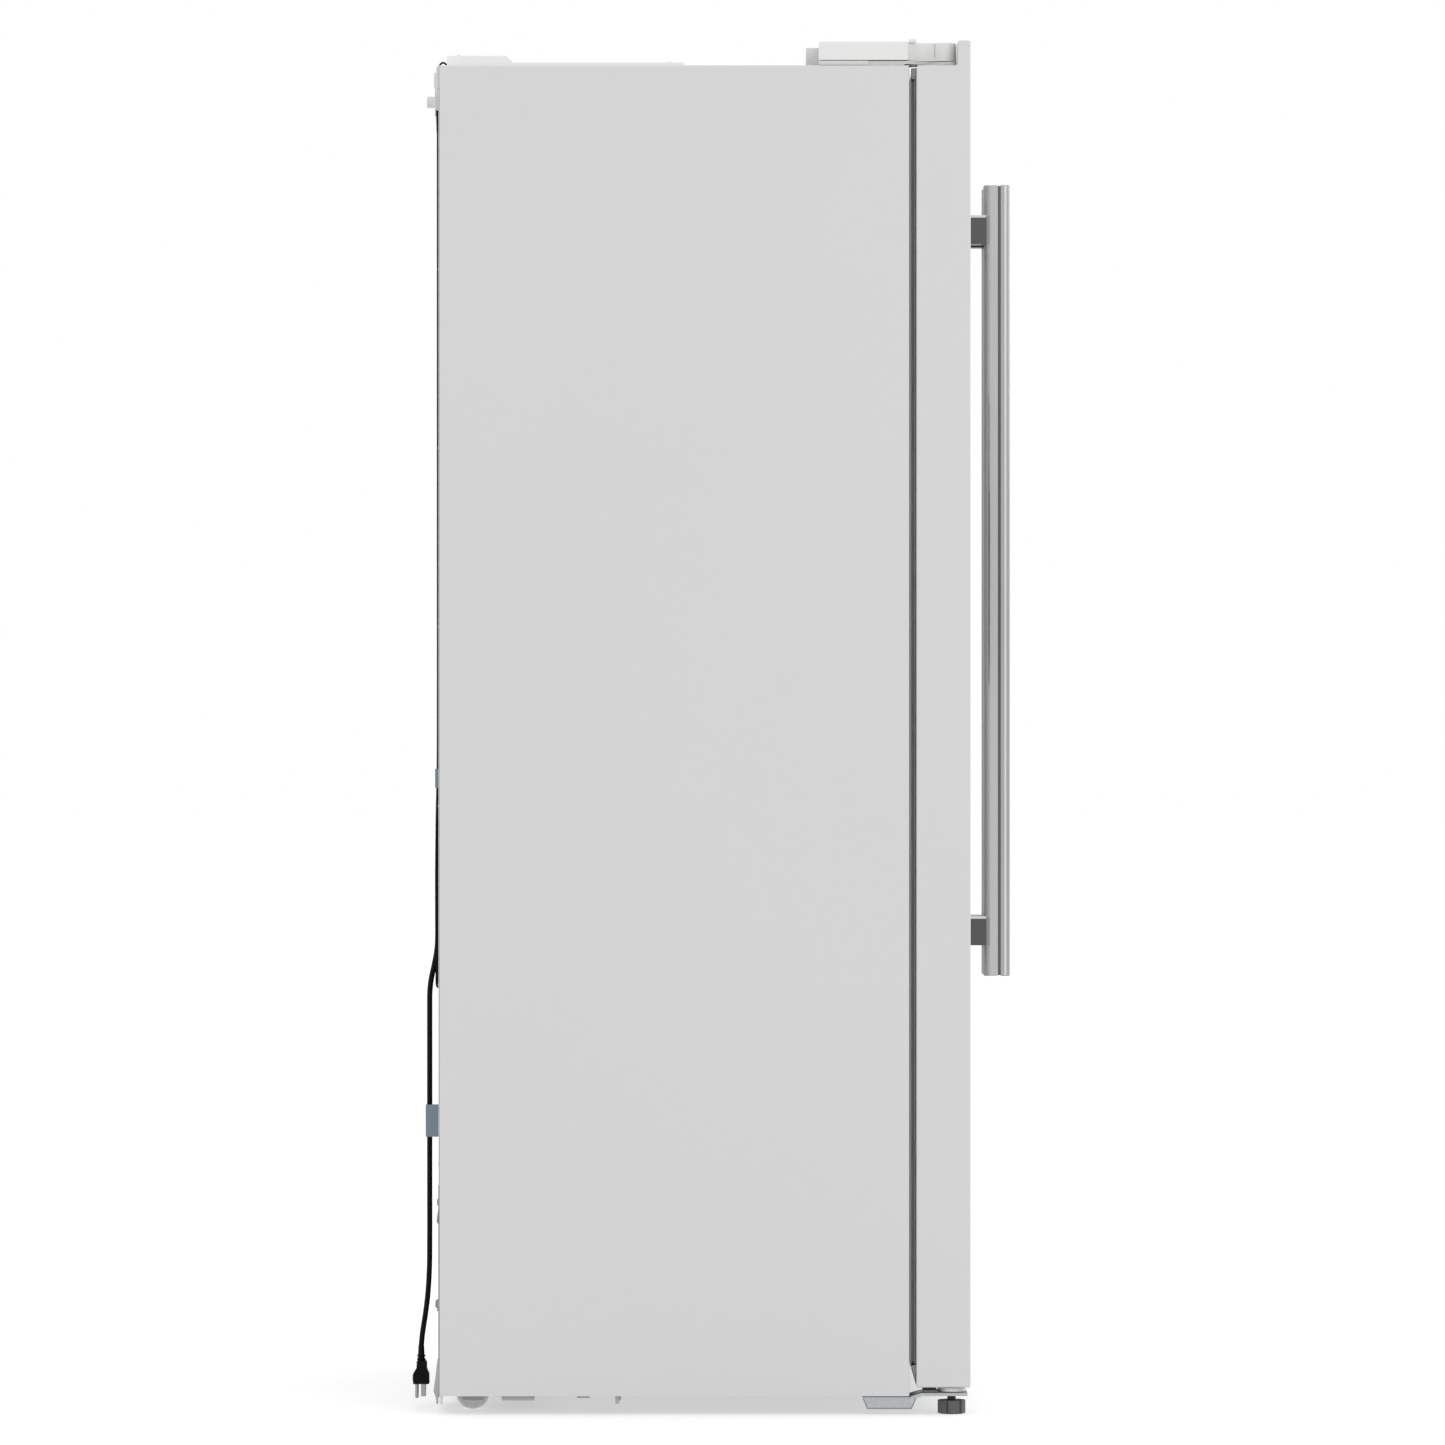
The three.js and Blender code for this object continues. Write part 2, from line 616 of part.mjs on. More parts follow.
// Plan outline of a hinge cover, shrunk by `inset`: a block over the cabinet, a neck hollowed on its
// outer side, and a round cap over the hinge pin.
function hingeCoverOutline(side, inset) {
  const outer = coverMargin - hingeInset + inset;
  const inner = coverInboard - hingeInset - inset;
  const rear = toFront + coverBack - inset;
  const points = [[outer, rear], [inner, rear], [inner, toFront + 4 + inset], [37 - inset, toFront + 4 + inset],
    [cap.inboard + cap.radius - inset, 30]];
  for (let k = 0; k <= 10; k++) { // round the front of the pin, from inboard to outboard
    const angle = (-k * 1.25 * Math.PI) / 10;
    const r = cap.radius - inset;
    points.push([cap.inboard + r * Math.cos(angle), cap.behind + r * Math.sin(angle)]);
  }
  for (let k = 0; k <= 6; k++) { // hollow side of the neck
    const angle = (k * Math.PI) / 12;
    const inboard = coverMargin - hingeInset + (25.5 + inset) * Math.cos(angle);
    points.push([Math.max(outer, inboard), 28 + (toFront - 26 + inset) * Math.sin(angle)]);
    if (inboard <= outer) break;
  }
  return aroundHinge(side, points);
}

const tunnelBack = front + 132;
const tunnelInboard = 300;

// The left cover runs on over the cable between the door and the control box.
function addHingeCover(name, side, withTunnel) {
  const shell = 2.2;
  const solid = [alongZ(hingeCoverOutline(side, 0), [coverLow, coverTop])];
  const hollow = [alongZ(hingeCoverOutline(side, shell), [coverLow - 1, coverTop - shell])];
  if (withTunnel) {
    const ends = [coverInboard - 1, tunnelInboard].map((inboard) => side * (half - inboard));
    const wide = [Math.min(...ends), Math.max(...ends)];
    const deep = [front + 6, tunnelBack];
    solid.push(block(wide, deep, [top + gap, coverTop]));
    hollow.push(block(grown(wide, -shell), grown(deep, -shell), [top - 1, coverTop - shell]));
  }
  add(name, cut(join(...solid), ...hollow), whitePlastic);
}

const stepY = front - 16; // where the bottom bracket has risen under the door
const bracketHigh = 28;

function addBottomHinge(name, side) {
  const outer = side * (half - 3);
  const inner = outer - side * bracketWidth;
  const low = bottom - gap - plateThickness;
  const plate = alongX([
    [front + 60, low], [front + 60, low + plateThickness], [front - 2, low + plateThickness],
    [stepY, bracketHigh], [doorFront + 4, bracketHigh], [doorFront + 4, bracketHigh - plateThickness],
    [stepY - 1, bracketHigh - plateThickness], [front - 4, low],
  ], [outer, inner]);
  const flange = alongX([
    [front + 60, low + 1], [front + 54, 7.5], [front - 3, 7.5], [front - 9, low + 1],
  ], [outer, outer - side * 3]);
  const pin = rodZ(pinRadius, side * hingeX, hingeY, [bracketHigh - 1, doorFloorGap + pinLength], 16);
  const socket = rodZ(stemRadius + 0.7, side * hingeX, hingeY, [0, bracketHigh - 1.5], 16);
  add(name, join(cut(join(plate, flange), socket), pin), zincSteel);
}

function addFoot(name, side) {
  const notches = [];
  for (let i = 0; i < 10; i++) {
    const angle = (i * 2 * Math.PI) / 10;
    notches.push(new THREE.BoxGeometry(4, 4, footHeight + 2)
      .translate(footRadius + 0.6, 0, footHeight / 2 + 1.5).rotateZ(angle));
  }
  const pad = cut(rodZ(footRadius, 0, 0, [0, footHeight], 20), ...notches);
  const stem = rodZ(stemRadius, 0, 0, [footHeight - 1, bracketHigh - 2], 12);
  add(name, join(pad, stem), greyPlastic, [side * hingeX, hingeY, 0]);
}

function addRoller(name, side) {
  const tyre = rodX(rollerRadius, grown([0, 0], rollerWidth / 2), 0, 0, 32);
  const web = [1, -1].map((end) =>
    cut(rodX(rollerRadius - 4, [end > 0 ? rollerWidth / 2 - 3 : -rollerWidth / 2 - 1,
      end > 0 ? rollerWidth / 2 + 1 : -rollerWidth / 2 + 3], 0, 0, 20),
    rodX(8, grown([0, 0], rollerWidth), 0, 0, 12)));
  const bore = rodX(axleRadius + 0.5, grown([0, 0], rollerWidth), 0, 0, 12);
  add(name, cut(tyre, ...web, bore), greyPlastic, [side * rollerX, rollerY, rollerZ]);
}

// ---- Doors -------------------------------------------------------------------------------------

const doors = {
  left: { side: -1, breadth: half + splitX - doorSplit / 2, cavity: freezer },
  right: { side: 1, breadth: half - splitX - doorSplit / 2, cavity: fridge },
};

// Places across a door are measured from its hinge side.
const across = (door, from) => door.side * (half - from);
const span = (door, a, b) => [across(door, a), across(door, b)];

const dispenser = { low: level(0.527), height: 390, breadth: 190, depth: 84, bezel: 6, proud: 2 };
dispenser.high = dispenser.low + dispenser.height;
dispenser.middle = doors.left.breadth / 2;
dispenser.from = dispenser.middle - dispenser.breadth / 2;
dispenser.to = dispenser.middle + dispenser.breadth / 2;
const dispenserBody = [dispenser.from + dispenser.bezel, dispenser.to - dispenser.bezel];
const dispenserUp = [dispenser.low + dispenser.bezel, dispenser.high - dispenser.bezel];

function doorProfile(inset, backY) {
  return [
    [backY, doorFloorGap + inset], [doorFront + inset, doorFloorGap + inset],
    [doorFront + inset, lipTop - inset], [doorFront + lipThickness - inset, lipTop - inset],
    [doorFront + lipThickness - inset, top - inset], [backY, top - inset],
  ];
}

function addDoorPanel(name, door) {
  const shell = alongX(doorProfile(0, doorBack), span(door, 0, door.breadth));
  const hollow = alongX(doorProfile(doorSheet, doorBack + 1),
    span(door, doorSheet, door.breadth - doorSheet));
  const holes = [[top - 3, top + 3], [doorFloorGap - 3, doorFloorGap + 3]].map((z) =>
    rodZ(pinRadius + pinPlay, door.side * hingeX, hingeY, z, 16));
  if (door === doors.left) {
    holes.push(block(span(door, dispenserBody[0] - gap, dispenserBody[1] + gap),
      [doorFront - 1, doorFront + 5], grown(dispenserUp, gap)));
  }
  add(name, cut(shell, hollow, ...holes), whitePaint);
}

// The rim of the liner stands inside the compartment, and its pockets hold the bins.
function rimAcross(door) {
  const wide = Math.abs(door.cavity[1] - door.cavity[0]);
  const start = sideWall + linerThickness + dykePlay;
  return [start, sideWall + wide - linerThickness - dykePlay];
}

const rimUp = [linerFloor + linerThickness + dykePlay, linerTop - linerThickness - dykePlay];
const rimTop = front + dykeDepth;
const pocketsUp = {
  left: [[rimUp[0] + dykeWidth, dispenser.low - 36], [dispenser.high + 34, rimUp[1] - dykeWidth]],
  right: [[rimUp[0] + dykeWidth, rimUp[1] - dykeWidth]],
};

function addDoorLiner(name, door, key) {
  const t = linerThickness;
  const edge = doorSheet + gap;
  const [from, to] = rimAcross(door);
  const flange = block(span(door, edge, door.breadth - edge), [doorBack - t, doorBack],
    [doorFloorGap + edge, top - edge]);
  // Ledges above and below the gasket, which close the ends of the door's back.
  const upperLedge = block(span(door, 30, door.breadth - 24), [doorBack - 0.5, doorBack + 6],
    [top - 16, top - edge]);
  const lowerLedge = alongX([[doorBack - 0.5, doorFloorGap + edge], [doorBack, doorFloorGap + edge],
    [doorBack + 7, doorFloorGap + 27], [doorBack - 0.5, doorFloorGap + 27]],
    span(door, 30, door.breadth - 24));
  const rim = block(span(door, from, to), [doorBack - t, rimTop], rimUp);
  const rimHollow = block(span(door, from + t, to - t), [doorBack - t - 1, rimTop - t], grown(rimUp, -t));
  let liner = cut(join(flange, upperLedge, lowerLedge, rim), rimHollow);
  const floorY = doorBack - pocketDepth;
  for (const z of pocketsUp[key]) {
    const pocket = span(door, from + dykeWidth, to - dykeWidth);
    const walls = span(door, from + dykeWidth - t, to - dykeWidth + t);
    liner = cut(join(liner, block(walls, [floorY - t, rimTop - 0.5], grown(z, t))),
      block(pocket, [floorY, rimTop + 1], z));
  }
  const [low, high] = [top - pinLength - 4, top];
  const pinRoom = [[low, high], [doorFloorGap, doorFloorGap + pinLength + 4]].map((z) =>
    block(span(door, 0, hingeInset + 12), [hingeY - 12, doorBack - 8], z));
  add(name, cut(liner, ...pinRoom), linerWhite);
}

const gasketSide = 20; // from the door's hinge side
const gasketFree = 12;
const gasketUp = [doorFloorGap + 29, top - 17];
const gasketWidth = 15;

function addGasket(name, door) {
  const y = [doorBack + gap, front - 0.8];
  const ring = cut(
    block(span(door, gasketSide, door.breadth - gasketFree), y, gasketUp),
    block(span(door, gasketSide + gasketWidth, door.breadth - gasketFree - gasketWidth), grown(y, 1),
      grown(gasketUp, -gasketWidth)),
  );
  const magnetGroove = cut(
    block(span(door, gasketSide - 1, door.breadth - gasketFree + 1), [y[0] + 3, y[0] + 4.2],
      grown(gasketUp, 1)),
    block(span(door, gasketSide + 2, door.breadth - gasketFree - 2), [y[0] + 2, y[0] + 5],
      grown(gasketUp, -2)),
  );
  add(name, cut(ring, magnetGroove), darkRubber);
}

// ---- Door furniture ----------------------------------------------------------------------------

// Plan outline of the handle's bar about its own middle: a round back, a shadow groove in each side and
// a flatter front. `grow` offsets it outwards.
function barOutline(grow = 0) {
  const w = handleWidth / 2 + grow;
  const d = handleDepth / 2 + grow;
  const groove = -0.2 * handleDepth;
  const points = [];
  const steps = 12;
  for (let k = 0; k <= steps; k++) { // round back, from the right side to the left
    const angle = (k * Math.PI) / steps;
    points.push([w * Math.cos(angle), groove + 3 + (d - groove - 3) * Math.sin(angle)]);
  }
  points.push([-w, groove + 1], [-w + 1.6, groove + 1], [-w + 1.6, groove - 1], [-w, groove - 1]);
  for (let k = 0; k <= 4; k++) { // front, with rounded corners
    const angle = (k * Math.PI) / 8;
    points.push([-w + 5 - 5 * Math.cos(angle), -d + 5 - 5 * Math.sin(angle)]);
  }
  for (let k = 4; k >= 0; k--) {
    const angle = (k * Math.PI) / 8;
    points.push([w - 5 + 5 * Math.cos(angle), -d + 5 - 5 * Math.sin(angle)]);
  }
  points.push([w, groove - 1], [w - 1.6, groove - 1], [w - 1.6, groove + 1], [w, groove + 1]);
  return points;
}

function addHandle(prefix, door) {
  const x = across(door, door.breadth - handleEdge);
  const barY = doorFront - handleReach + handleDepth / 2;
  const bottomZ = handleTop - handleLength;
  const bar = alongZ(barOutline(), [bottomZ, handleTop]).translate(x, barY, 0);
  add(`${prefix}_handle_bar`, bar, polishedSteel);
  const keepOut = alongZ(barOutline(gap), [bottomZ - 1, handleTop + 1]).translate(x, barY, 0);
  const levels = { upper: handleTop - postInset, lower: bottomZ + postInset };
  for (const [level, z] of Object.entries(levels)) {
    const post = block([x - postWidth / 2, x + postWidth / 2], [barY + 8, doorFront - gap],
      [z - postHeight / 2, z + postHeight / 2]);
    add(`${prefix}_handle_post_${level}`, cut(post, keepOut), darkSteel);
  }
}

const binHeight = 105;
const binWall = 2.5;
const bins = {
  left_door_bin_lower: { door: doors.left, floor: drawerFloor + freezerDrawerHeight + 78 },
  left_door_bin_upper: { door: doors.left, floor: dispenser.high + 69 },
  right_door_bin_lower: { door: doors.right, floor: level(0.385) },
  right_door_bin_upper: { door: doors.right, floor: level(0.6996) },
};

function addBins() {
  for (const [name, { door, floor }] of Object.entries(bins)) {
    const [from, to] = rimAcross(door);
    const [a, b] = [from + dykeWidth + gap, to - dykeWidth - gap];
    const y = [doorBack - pocketDepth + 1, front + binReach];
    const tub = cut(block(span(door, a, b), y, [floor, floor + binHeight]),
      block(span(door, a + binWall, b - binWall), grown(y, -binWall), [floor + binWall, floor + binHeight + 1]));
    const lowered = block(span(door, a - 1, b + 1), [rimTop + 12, y[1] - binWall - 4],
      [floor + binHeight - 30, floor + binHeight + 1]);
    add(name, cut(tub, lowered), clearPlastic);
  }
}

// ---- Dispenser ---------------------------------------------------------------------------------

const recess = {
  from: dispenserBody[0] + 9, to: dispenserBody[1] - 9, low: dispenser.low + 27, high: dispenser.low + 264, depth: 76,
};
const paddle = { width: 62, pinZ: dispenser.low + 219, pinRadius: 3, height: 88, y: doorFront + 50 };
const trayHeight = 12;

function addDispenser() {
  const door = doors.left;
  const { low, high, depth, proud } = dispenser;
  const bezel = block(span(door, dispenser.from, dispenser.to), [doorFront - proud, doorFront - gap],
    [low, high]);
  const body = block(span(door, ...dispenserBody), [doorFront - proud, doorFront + depth], dispenserUp);
  const hollow = block(span(door, recess.from, recess.to), [doorFront - proud - 1, doorFront + recess.depth],
    [recess.low, recess.high]);
  const behindPanel = block(span(door, recess.from, recess.to), [doorFront + 4, doorFront + depth + 1],
    [recess.high + 6, dispenserUp[1] - 4]);
  const middle = across(door, dispenser.middle);
  const chute = cut(rodZ(26, middle, doorFront + 34, [recess.high - 26, recess.high + 1], 20),
    rodZ(22, middle, doorFront + 34, [recess.high - 30, recess.high + 8], 20));
  const throat = rodZ(22, middle, doorFront + 34, [recess.high - 1, recess.high + 8], 20);
  const ears = [-1, 1].map((end) => {
    const inner = middle + end * (paddle.width / 2 + 2);
    return cut(
      block([inner, inner + end * 5], [paddle.y - 7, doorFront + recess.depth + 1],
        [paddle.pinZ - 7, paddle.pinZ + 7]),
      rodX(paddle.pinRadius + 0.5, [inner - 8, inner + 8], paddle.y, paddle.pinZ, 12),
    );
  });
  const housing = join(cut(join(bezel, body), hollow, behindPanel, throat), chute, ...ears);
  add('dispenser_housing', housing, blackPlastic);

  const flap = block([-paddle.width / 2, paddle.width / 2], [-2, 2], [-paddle.height, 2]);
  const pin = rodX(paddle.pinRadius, grown([0, 0], paddle.width / 2 + 6), 0, 0, 12);
  add('dispenser_paddle', join(flap, pin), greyPlastic, [middle, paddle.y, paddle.pinZ]);

  const trayAcross = span(door, recess.from + 2, recess.to - 2);
  const trayY = [doorFront - proud + 1, doorFront + recess.depth - 3];
  const trayUp = [recess.low + gap, recess.low + trayHeight];
  const [x0, x1] = [Math.min(...trayAcross), Math.max(...trayAcross)];
  const slots = [];
  for (let i = 0; i < 9; i++) {
    const x = x0 + 14 + (i * (x1 - x0 - 28)) / 8;
    slots.push(block([x - 3, x + 3], [trayY[0] + 12, trayY[1] - 10], [trayUp[1] - 6, trayUp[1] + 1]));
  }
  add('dispenser_drip_tray', cut(block([x0, x1], trayY, trayUp), ...slots), blackPlastic);
}

function addDoor(key) {
  const door = doors[key];
  addDoorPanel(`${key}_door_panel`, door);
  addDoorLiner(`${key}_door_liner`, door, key);
  addGasket(`${key}_door_gasket`, door);
  addHandle(key, door);
}

// ---- Rear services -----------------------------------------------------------------------------

const cordX = -280;
const inletUp = [top - 50, top - 1];

function addControlBox() {
  const x = [-300, 110];
  const wall = 2;
  const outline = (inset) => [
    [back - 5 - inset, top + gap - (inset ? 1 : 0)], [back - 5 - inset, top + 22.5 - inset],
    [back - 82, top + 22.5 - inset], [back - 92, top + 14 - inset],
    [back - 315 + inset, top + 14 - inset], [back - 315 + inset, top + gap - (inset ? 1 : 0)],
  ];
  const shell = cut(alongX(outline(0), x), alongX(outline(wall), grown(x, -wall)));
  add('control_box_cover', shell, whitePlastic);
}

function addWaterInlet() {
  const x = [cordX - 35, cordX + 45];
  const deep = [back + gap, back + 11];
  const step = top - 20;
  const upper = block(x, deep, [step, inletUp[1]]);
  const lower = block(x, [deep[0], back + 8.8 + 1], [inletUp[0], step + 1]);
  const hollow = block(grown(x, -2), [deep[0] - 1, deep[1] - 2], [step - 30, inletUp[1] - 2]);
  const channel = block([cordX - 4.5, cordX + 4.5], [deep[0] - 1, back + 8.9], [inletUp[0] - 1, step]);
  const spout = top - 35;
  const nozzle = rodY(7.5, cordX + 25, [back + 4, back + rearReach], spout, 18);
  const bore = rodY(4, cordX + 25, [back + 14, back + rearReach + 1], spout, 12);
  const hook = block([cordX + 22, cordX + 28], [back + 8, back + 12], [top - 53, spout - 4]);
  const wing = block([-half + 8, x[0] + 1], [deep[0], back + 4.5], [top - 29, inletUp[1]]);
  add('water_inlet', cut(join(cut(join(upper, lower), hollow, channel), nozzle, hook, wing), bore), whitePlastic);
}

// Behind the back panel and above the floor: the cord drops along the panel, is held by two clips and
// swings out to its plug.
const cordStart = inletUp[0] + 6;
const cordLeaves = 930; // height where the cord starts to leave the panel
const straightRun = [0, 0.25, 0.5, 0.75, 1].map((share) =>
  [5.1, cordStart + share * (cordLeaves - cordStart)]);
const cordRoute = [
  ...straightRun,
  [5.2, 860], [5.6, 820], [6.6, 770], [7.4, 700], [7.4, 640], [7.6, 604], [9.4, 588], [12.6, 572],
  [15.9, 556], [17.6, 540], [17.8, 515], [17.8, 460], [17.8, 372], [17.8, 290], [17.8, 220], [18.2, 180],
  [20.2, 146], [23.6, 118], [27, 96], [28.6, 80], [28.8, 73],
];

function addCord() {
  const points = cordRoute.map(([out, z]) => new THREE.Vector3(cordX, back + out, z));
  const path = new THREE.CatmullRomCurve3(points, false, 'centripetal');
  const section = new THREE.Shape();
  section.absarc(0, 0, cordDiameter / 2, 0, 2 * Math.PI);
  const tube = new THREE.ExtrudeGeometry(section, { extrudePath: path, steps: 60, curveSegments: 4 });
  add('power_cord', tube, blackPlastic);

  const [plugY, plugTop] = [back + 28.8, 72.5];
  const relief = rodZ(5.6, cordX, plugY, [plugTop - 14, plugTop], 12);
  const body = alongX([
    [-8, 56], [-8, 47], [-10.5, 41], [-10.5, 28.5], [10.5, 28.5], [10.5, 43], [8, 50], [8, 56], [4, 62], [-4, 62],
  ].map(([y, z]) => [plugY + y, z]), [cordX - 12, cordX + 12]);
  const blades = [-6.35, 6.35].map((x) =>
    block([cordX + x - 0.8, cordX + x + 0.8], [plugY - 6.2, plugY + 0.1], [12.5, 30]));
  const earth = rodZ(2.4, cordX, plugY + 5.6, [9.5, 30], 10);
  add('power_plug', join(relief, body, ...blades, earth), blackPlastic);
}

// A moulded clip: a foot on the back panel and an open ring round the cord.
function addCordClip(name, [low, high], out) {
  const reach = out + cordDiameter / 2 + 1.6;
  const body = block([cordX - 7, cordX + 7], [back + gap, back + reach], [low, high]);
  const hole = rodZ(cordDiameter / 2 + 1, cordX, back + out, [low - 1, high + 1], 12);
  const mouth = block([cordX, cordX + 8], [back + out - 1.6, back + out + 1.6], [low - 1, high + 1]);
  const foot = block([cordX - 15, cordX + 15], [back + gap, back + 1.9], [low - 3, high + 3]);
  const behind = block([cordX - 20, cordX + 20], [back - 5, back + gap], [low - 9, high + 9]);
  add(name, cut(join(body, foot), hole, mouth, behind), clipPlastic);
}

// ---- Assembly ----------------------------------------------------------------------------------

addWrapper();
addBackPanel();
addInsulation();
addLiners();
addShelves();
addDrawers();
addFreezerBackCover();
addEvaporator();
addIceMaker();
addAirDuct();
addBase();
addDrainPan();
addCompressor();
addCondenser();
addCondenserFan();
addMachineCover();
for (const [word, side] of [['left', -1], ['right', 1]]) {
  addTopHinge(`hinge_bracket_top_${word}`, side);
  addBottomHinge(`hinge_bracket_bottom_${word}`, side);
  addHingeCover(`hinge_cover_${word}`, side, word === 'left');
  addFoot(`leveling_foot_${word}`, side);
  addRoller(`rear_roller_${word}`, side);
  addDoor(word);
}
addBins();
addDispenser();
addControlBox();
addWaterInlet();
addCord();
addCordClip('cord_clip_upper', [806, 831], 5.4);
addCordClip('cord_clip_lower', [351, 393], 17.8);

export default refrigerator;
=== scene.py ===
"""Builds the finished look of a two-door refrigerator round its CAD frame."""

import json
import math

import bmesh
import bpy
from bpy.props import FloatProperty, FloatVectorProperty, IntProperty, PointerProperty
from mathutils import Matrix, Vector
from mathutils.bvhtree import BVHTree


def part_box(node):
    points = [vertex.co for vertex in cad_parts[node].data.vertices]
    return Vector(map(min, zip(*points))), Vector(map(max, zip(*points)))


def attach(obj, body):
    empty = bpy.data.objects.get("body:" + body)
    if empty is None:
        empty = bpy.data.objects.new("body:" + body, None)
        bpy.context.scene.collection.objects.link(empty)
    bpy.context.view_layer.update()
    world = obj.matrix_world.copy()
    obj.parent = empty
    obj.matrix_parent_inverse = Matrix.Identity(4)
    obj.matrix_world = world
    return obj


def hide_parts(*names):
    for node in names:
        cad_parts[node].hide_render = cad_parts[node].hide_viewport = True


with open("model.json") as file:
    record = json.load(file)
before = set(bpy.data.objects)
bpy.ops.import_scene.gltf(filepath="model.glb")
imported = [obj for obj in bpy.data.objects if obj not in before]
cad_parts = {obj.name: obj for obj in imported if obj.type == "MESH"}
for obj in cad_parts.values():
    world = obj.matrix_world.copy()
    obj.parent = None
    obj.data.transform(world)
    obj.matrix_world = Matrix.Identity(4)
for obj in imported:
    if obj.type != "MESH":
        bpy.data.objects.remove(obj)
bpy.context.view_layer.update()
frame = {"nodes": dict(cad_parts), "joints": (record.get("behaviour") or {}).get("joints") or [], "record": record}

bl_info = {
    "name": "Two-Door Refrigerator",
    "version": (1, 0, 0),
    "blender": (4, 5, 0),
    "location": "3D View > Sidebar > Refrigerator",
    "description": "Builds the finished look of a two-door refrigerator round its CAD frame",
    "category": "Object",
}

SIDES = (("left", -1), ("right", 1))
CABINET_LOW, CABINET_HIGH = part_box("cabinet_wrapper")
FRONT, BACK = CABINET_LOW.y, CABINET_HIGH.y
TOP, BOTTOM = CABINET_HIGH.z, CABINET_LOW.z
HALF = CABINET_HIGH.x
DOOR_LOW, DOOR_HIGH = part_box("left_door_panel")
DOOR_FRONT, DOOR_BACK = DOOR_LOW.y, DOOR_HIGH.y
HINGE = {
    joint["child"]: Vector(joint["pos_m"]) for joint in frame["joints"] if "door_hinge" in joint["name"]
}


# ---- Settings ----------------------------------------------------------------------------------


def tone(name, description, default):
    """A colour property."""
    return FloatVectorProperty(
        name=name, description=description, default=default, subtype="COLOR", size=3, min=0.0, max=1.0
    )


def length(name, description, default, top=1.0):
    """A size property in metres."""
    return FloatProperty(
        name=name, description=description, default=default, min=0.0, max=top, unit="LENGTH",
        subtype="DISTANCE", precision=4,
    )


class StageSettings(bpy.types.PropertyGroup):
    """The studio: its floor, light and camera."""

    floor: tone("Floor", "Colour of the studio floor", (0.5, 0.5, 0.5))
    glow: FloatProperty(name="Floor glow", description="Light that the floor gives", default=0.5)
    sky: FloatProperty(name="Sky", description="Brightness of the even light all round", default=1.0)
    eye: length("Eye height", "Height of the camera above the floor", 0.8915, 5.0)
    distance: length("Distance", "Camera to the middle of the refrigerator", 10.419, 50.0)
    aside: FloatProperty(
        name="Aside", description="How far the camera stands towards the back", default=-0.0014,
        unit="LENGTH",
    )
    lens: FloatProperty(
        name="Lens", description="Focal length of the camera", default=193.5, min=10.0, unit="CAMERA"
    )


class ColourSettings(bpy.types.PropertyGroup):
    """The finishes' base colours."""

    paint: tone("Paint", "Coated steel of the doors and sides", (0.565, 0.565, 0.563))
    trim: tone("Trim", "Moulded covers on the top", (0.67, 0.67, 0.665))
    liner: tone("Liner", "Glossy inside of the cabinet and doors", (0.83, 0.84, 0.84))
    gasket: tone("Gasket", "Door seals", (0.46, 0.46, 0.465))
    steel: tone("Steel", "Polished handle bars", (0.49, 0.495, 0.49))
    post: tone("Post", "Handle posts", (0.1, 0.1, 0.1))
    zinc: tone("Zinc", "Plated brackets, back and base", (0.33, 0.345, 0.355))
    dark: tone("Dark plastic", "Feet and levers", (0.075, 0.075, 0.077))
    wheel: tone("Wheel", "Rear wheels", (0.7, 0.7, 0.69))
    black: tone("Black plastic", "Dispenser, cord and plug", (0.006, 0.006, 0.0065))
    clip: tone("Clip", "Cord clips", (0.19, 0.25, 0.29))


class SizeSettings(bpy.types.PropertyGroup):
    """Sizes of edges, sheet, screws and cord."""

    door_radius: length("Door edge", "Radius of the doors' folded edges", 0.0028)
    trim_radius: length("Trim edge", "Radius of the moulded covers' edges", 0.0011)
    bend_radius: length("Cabinet bend", "Radius between the cabinet's sides and top", 0.0035)
    skin: length("Skin", "Thickness of the folded sheet", 0.0010)
    lip: length("Lip", "Thickness of a door's raised front edge", 0.017)
    screw: length("Screw", "Radius of a screw head", 0.0042)
    cord: length("Cord", "Diameter of the mains cord", 0.007)
    cord_sides: IntProperty(name="Cord sides", description="Sides of the cord's round", default=20, min=8)


def sizes():
    return bpy.context.scene.fridge_sizes


def colours():
    return bpy.context.scene.fridge_colours


# ---- Finishes ----------------------------------------------------------------------------------


def put(tree, kind, links=(), **values):
    """Adds a node, sets its inputs or properties by name and links its inputs."""
    made = tree.nodes.new(kind)
    for key, value in values.items():
        if key in made.inputs:
            made.inputs[key].default_value = value
        else:
            setattr(made, key, value)
    for socket, source in dict(links).items():
        tree.links.new(source, made.inputs[socket])
    return made


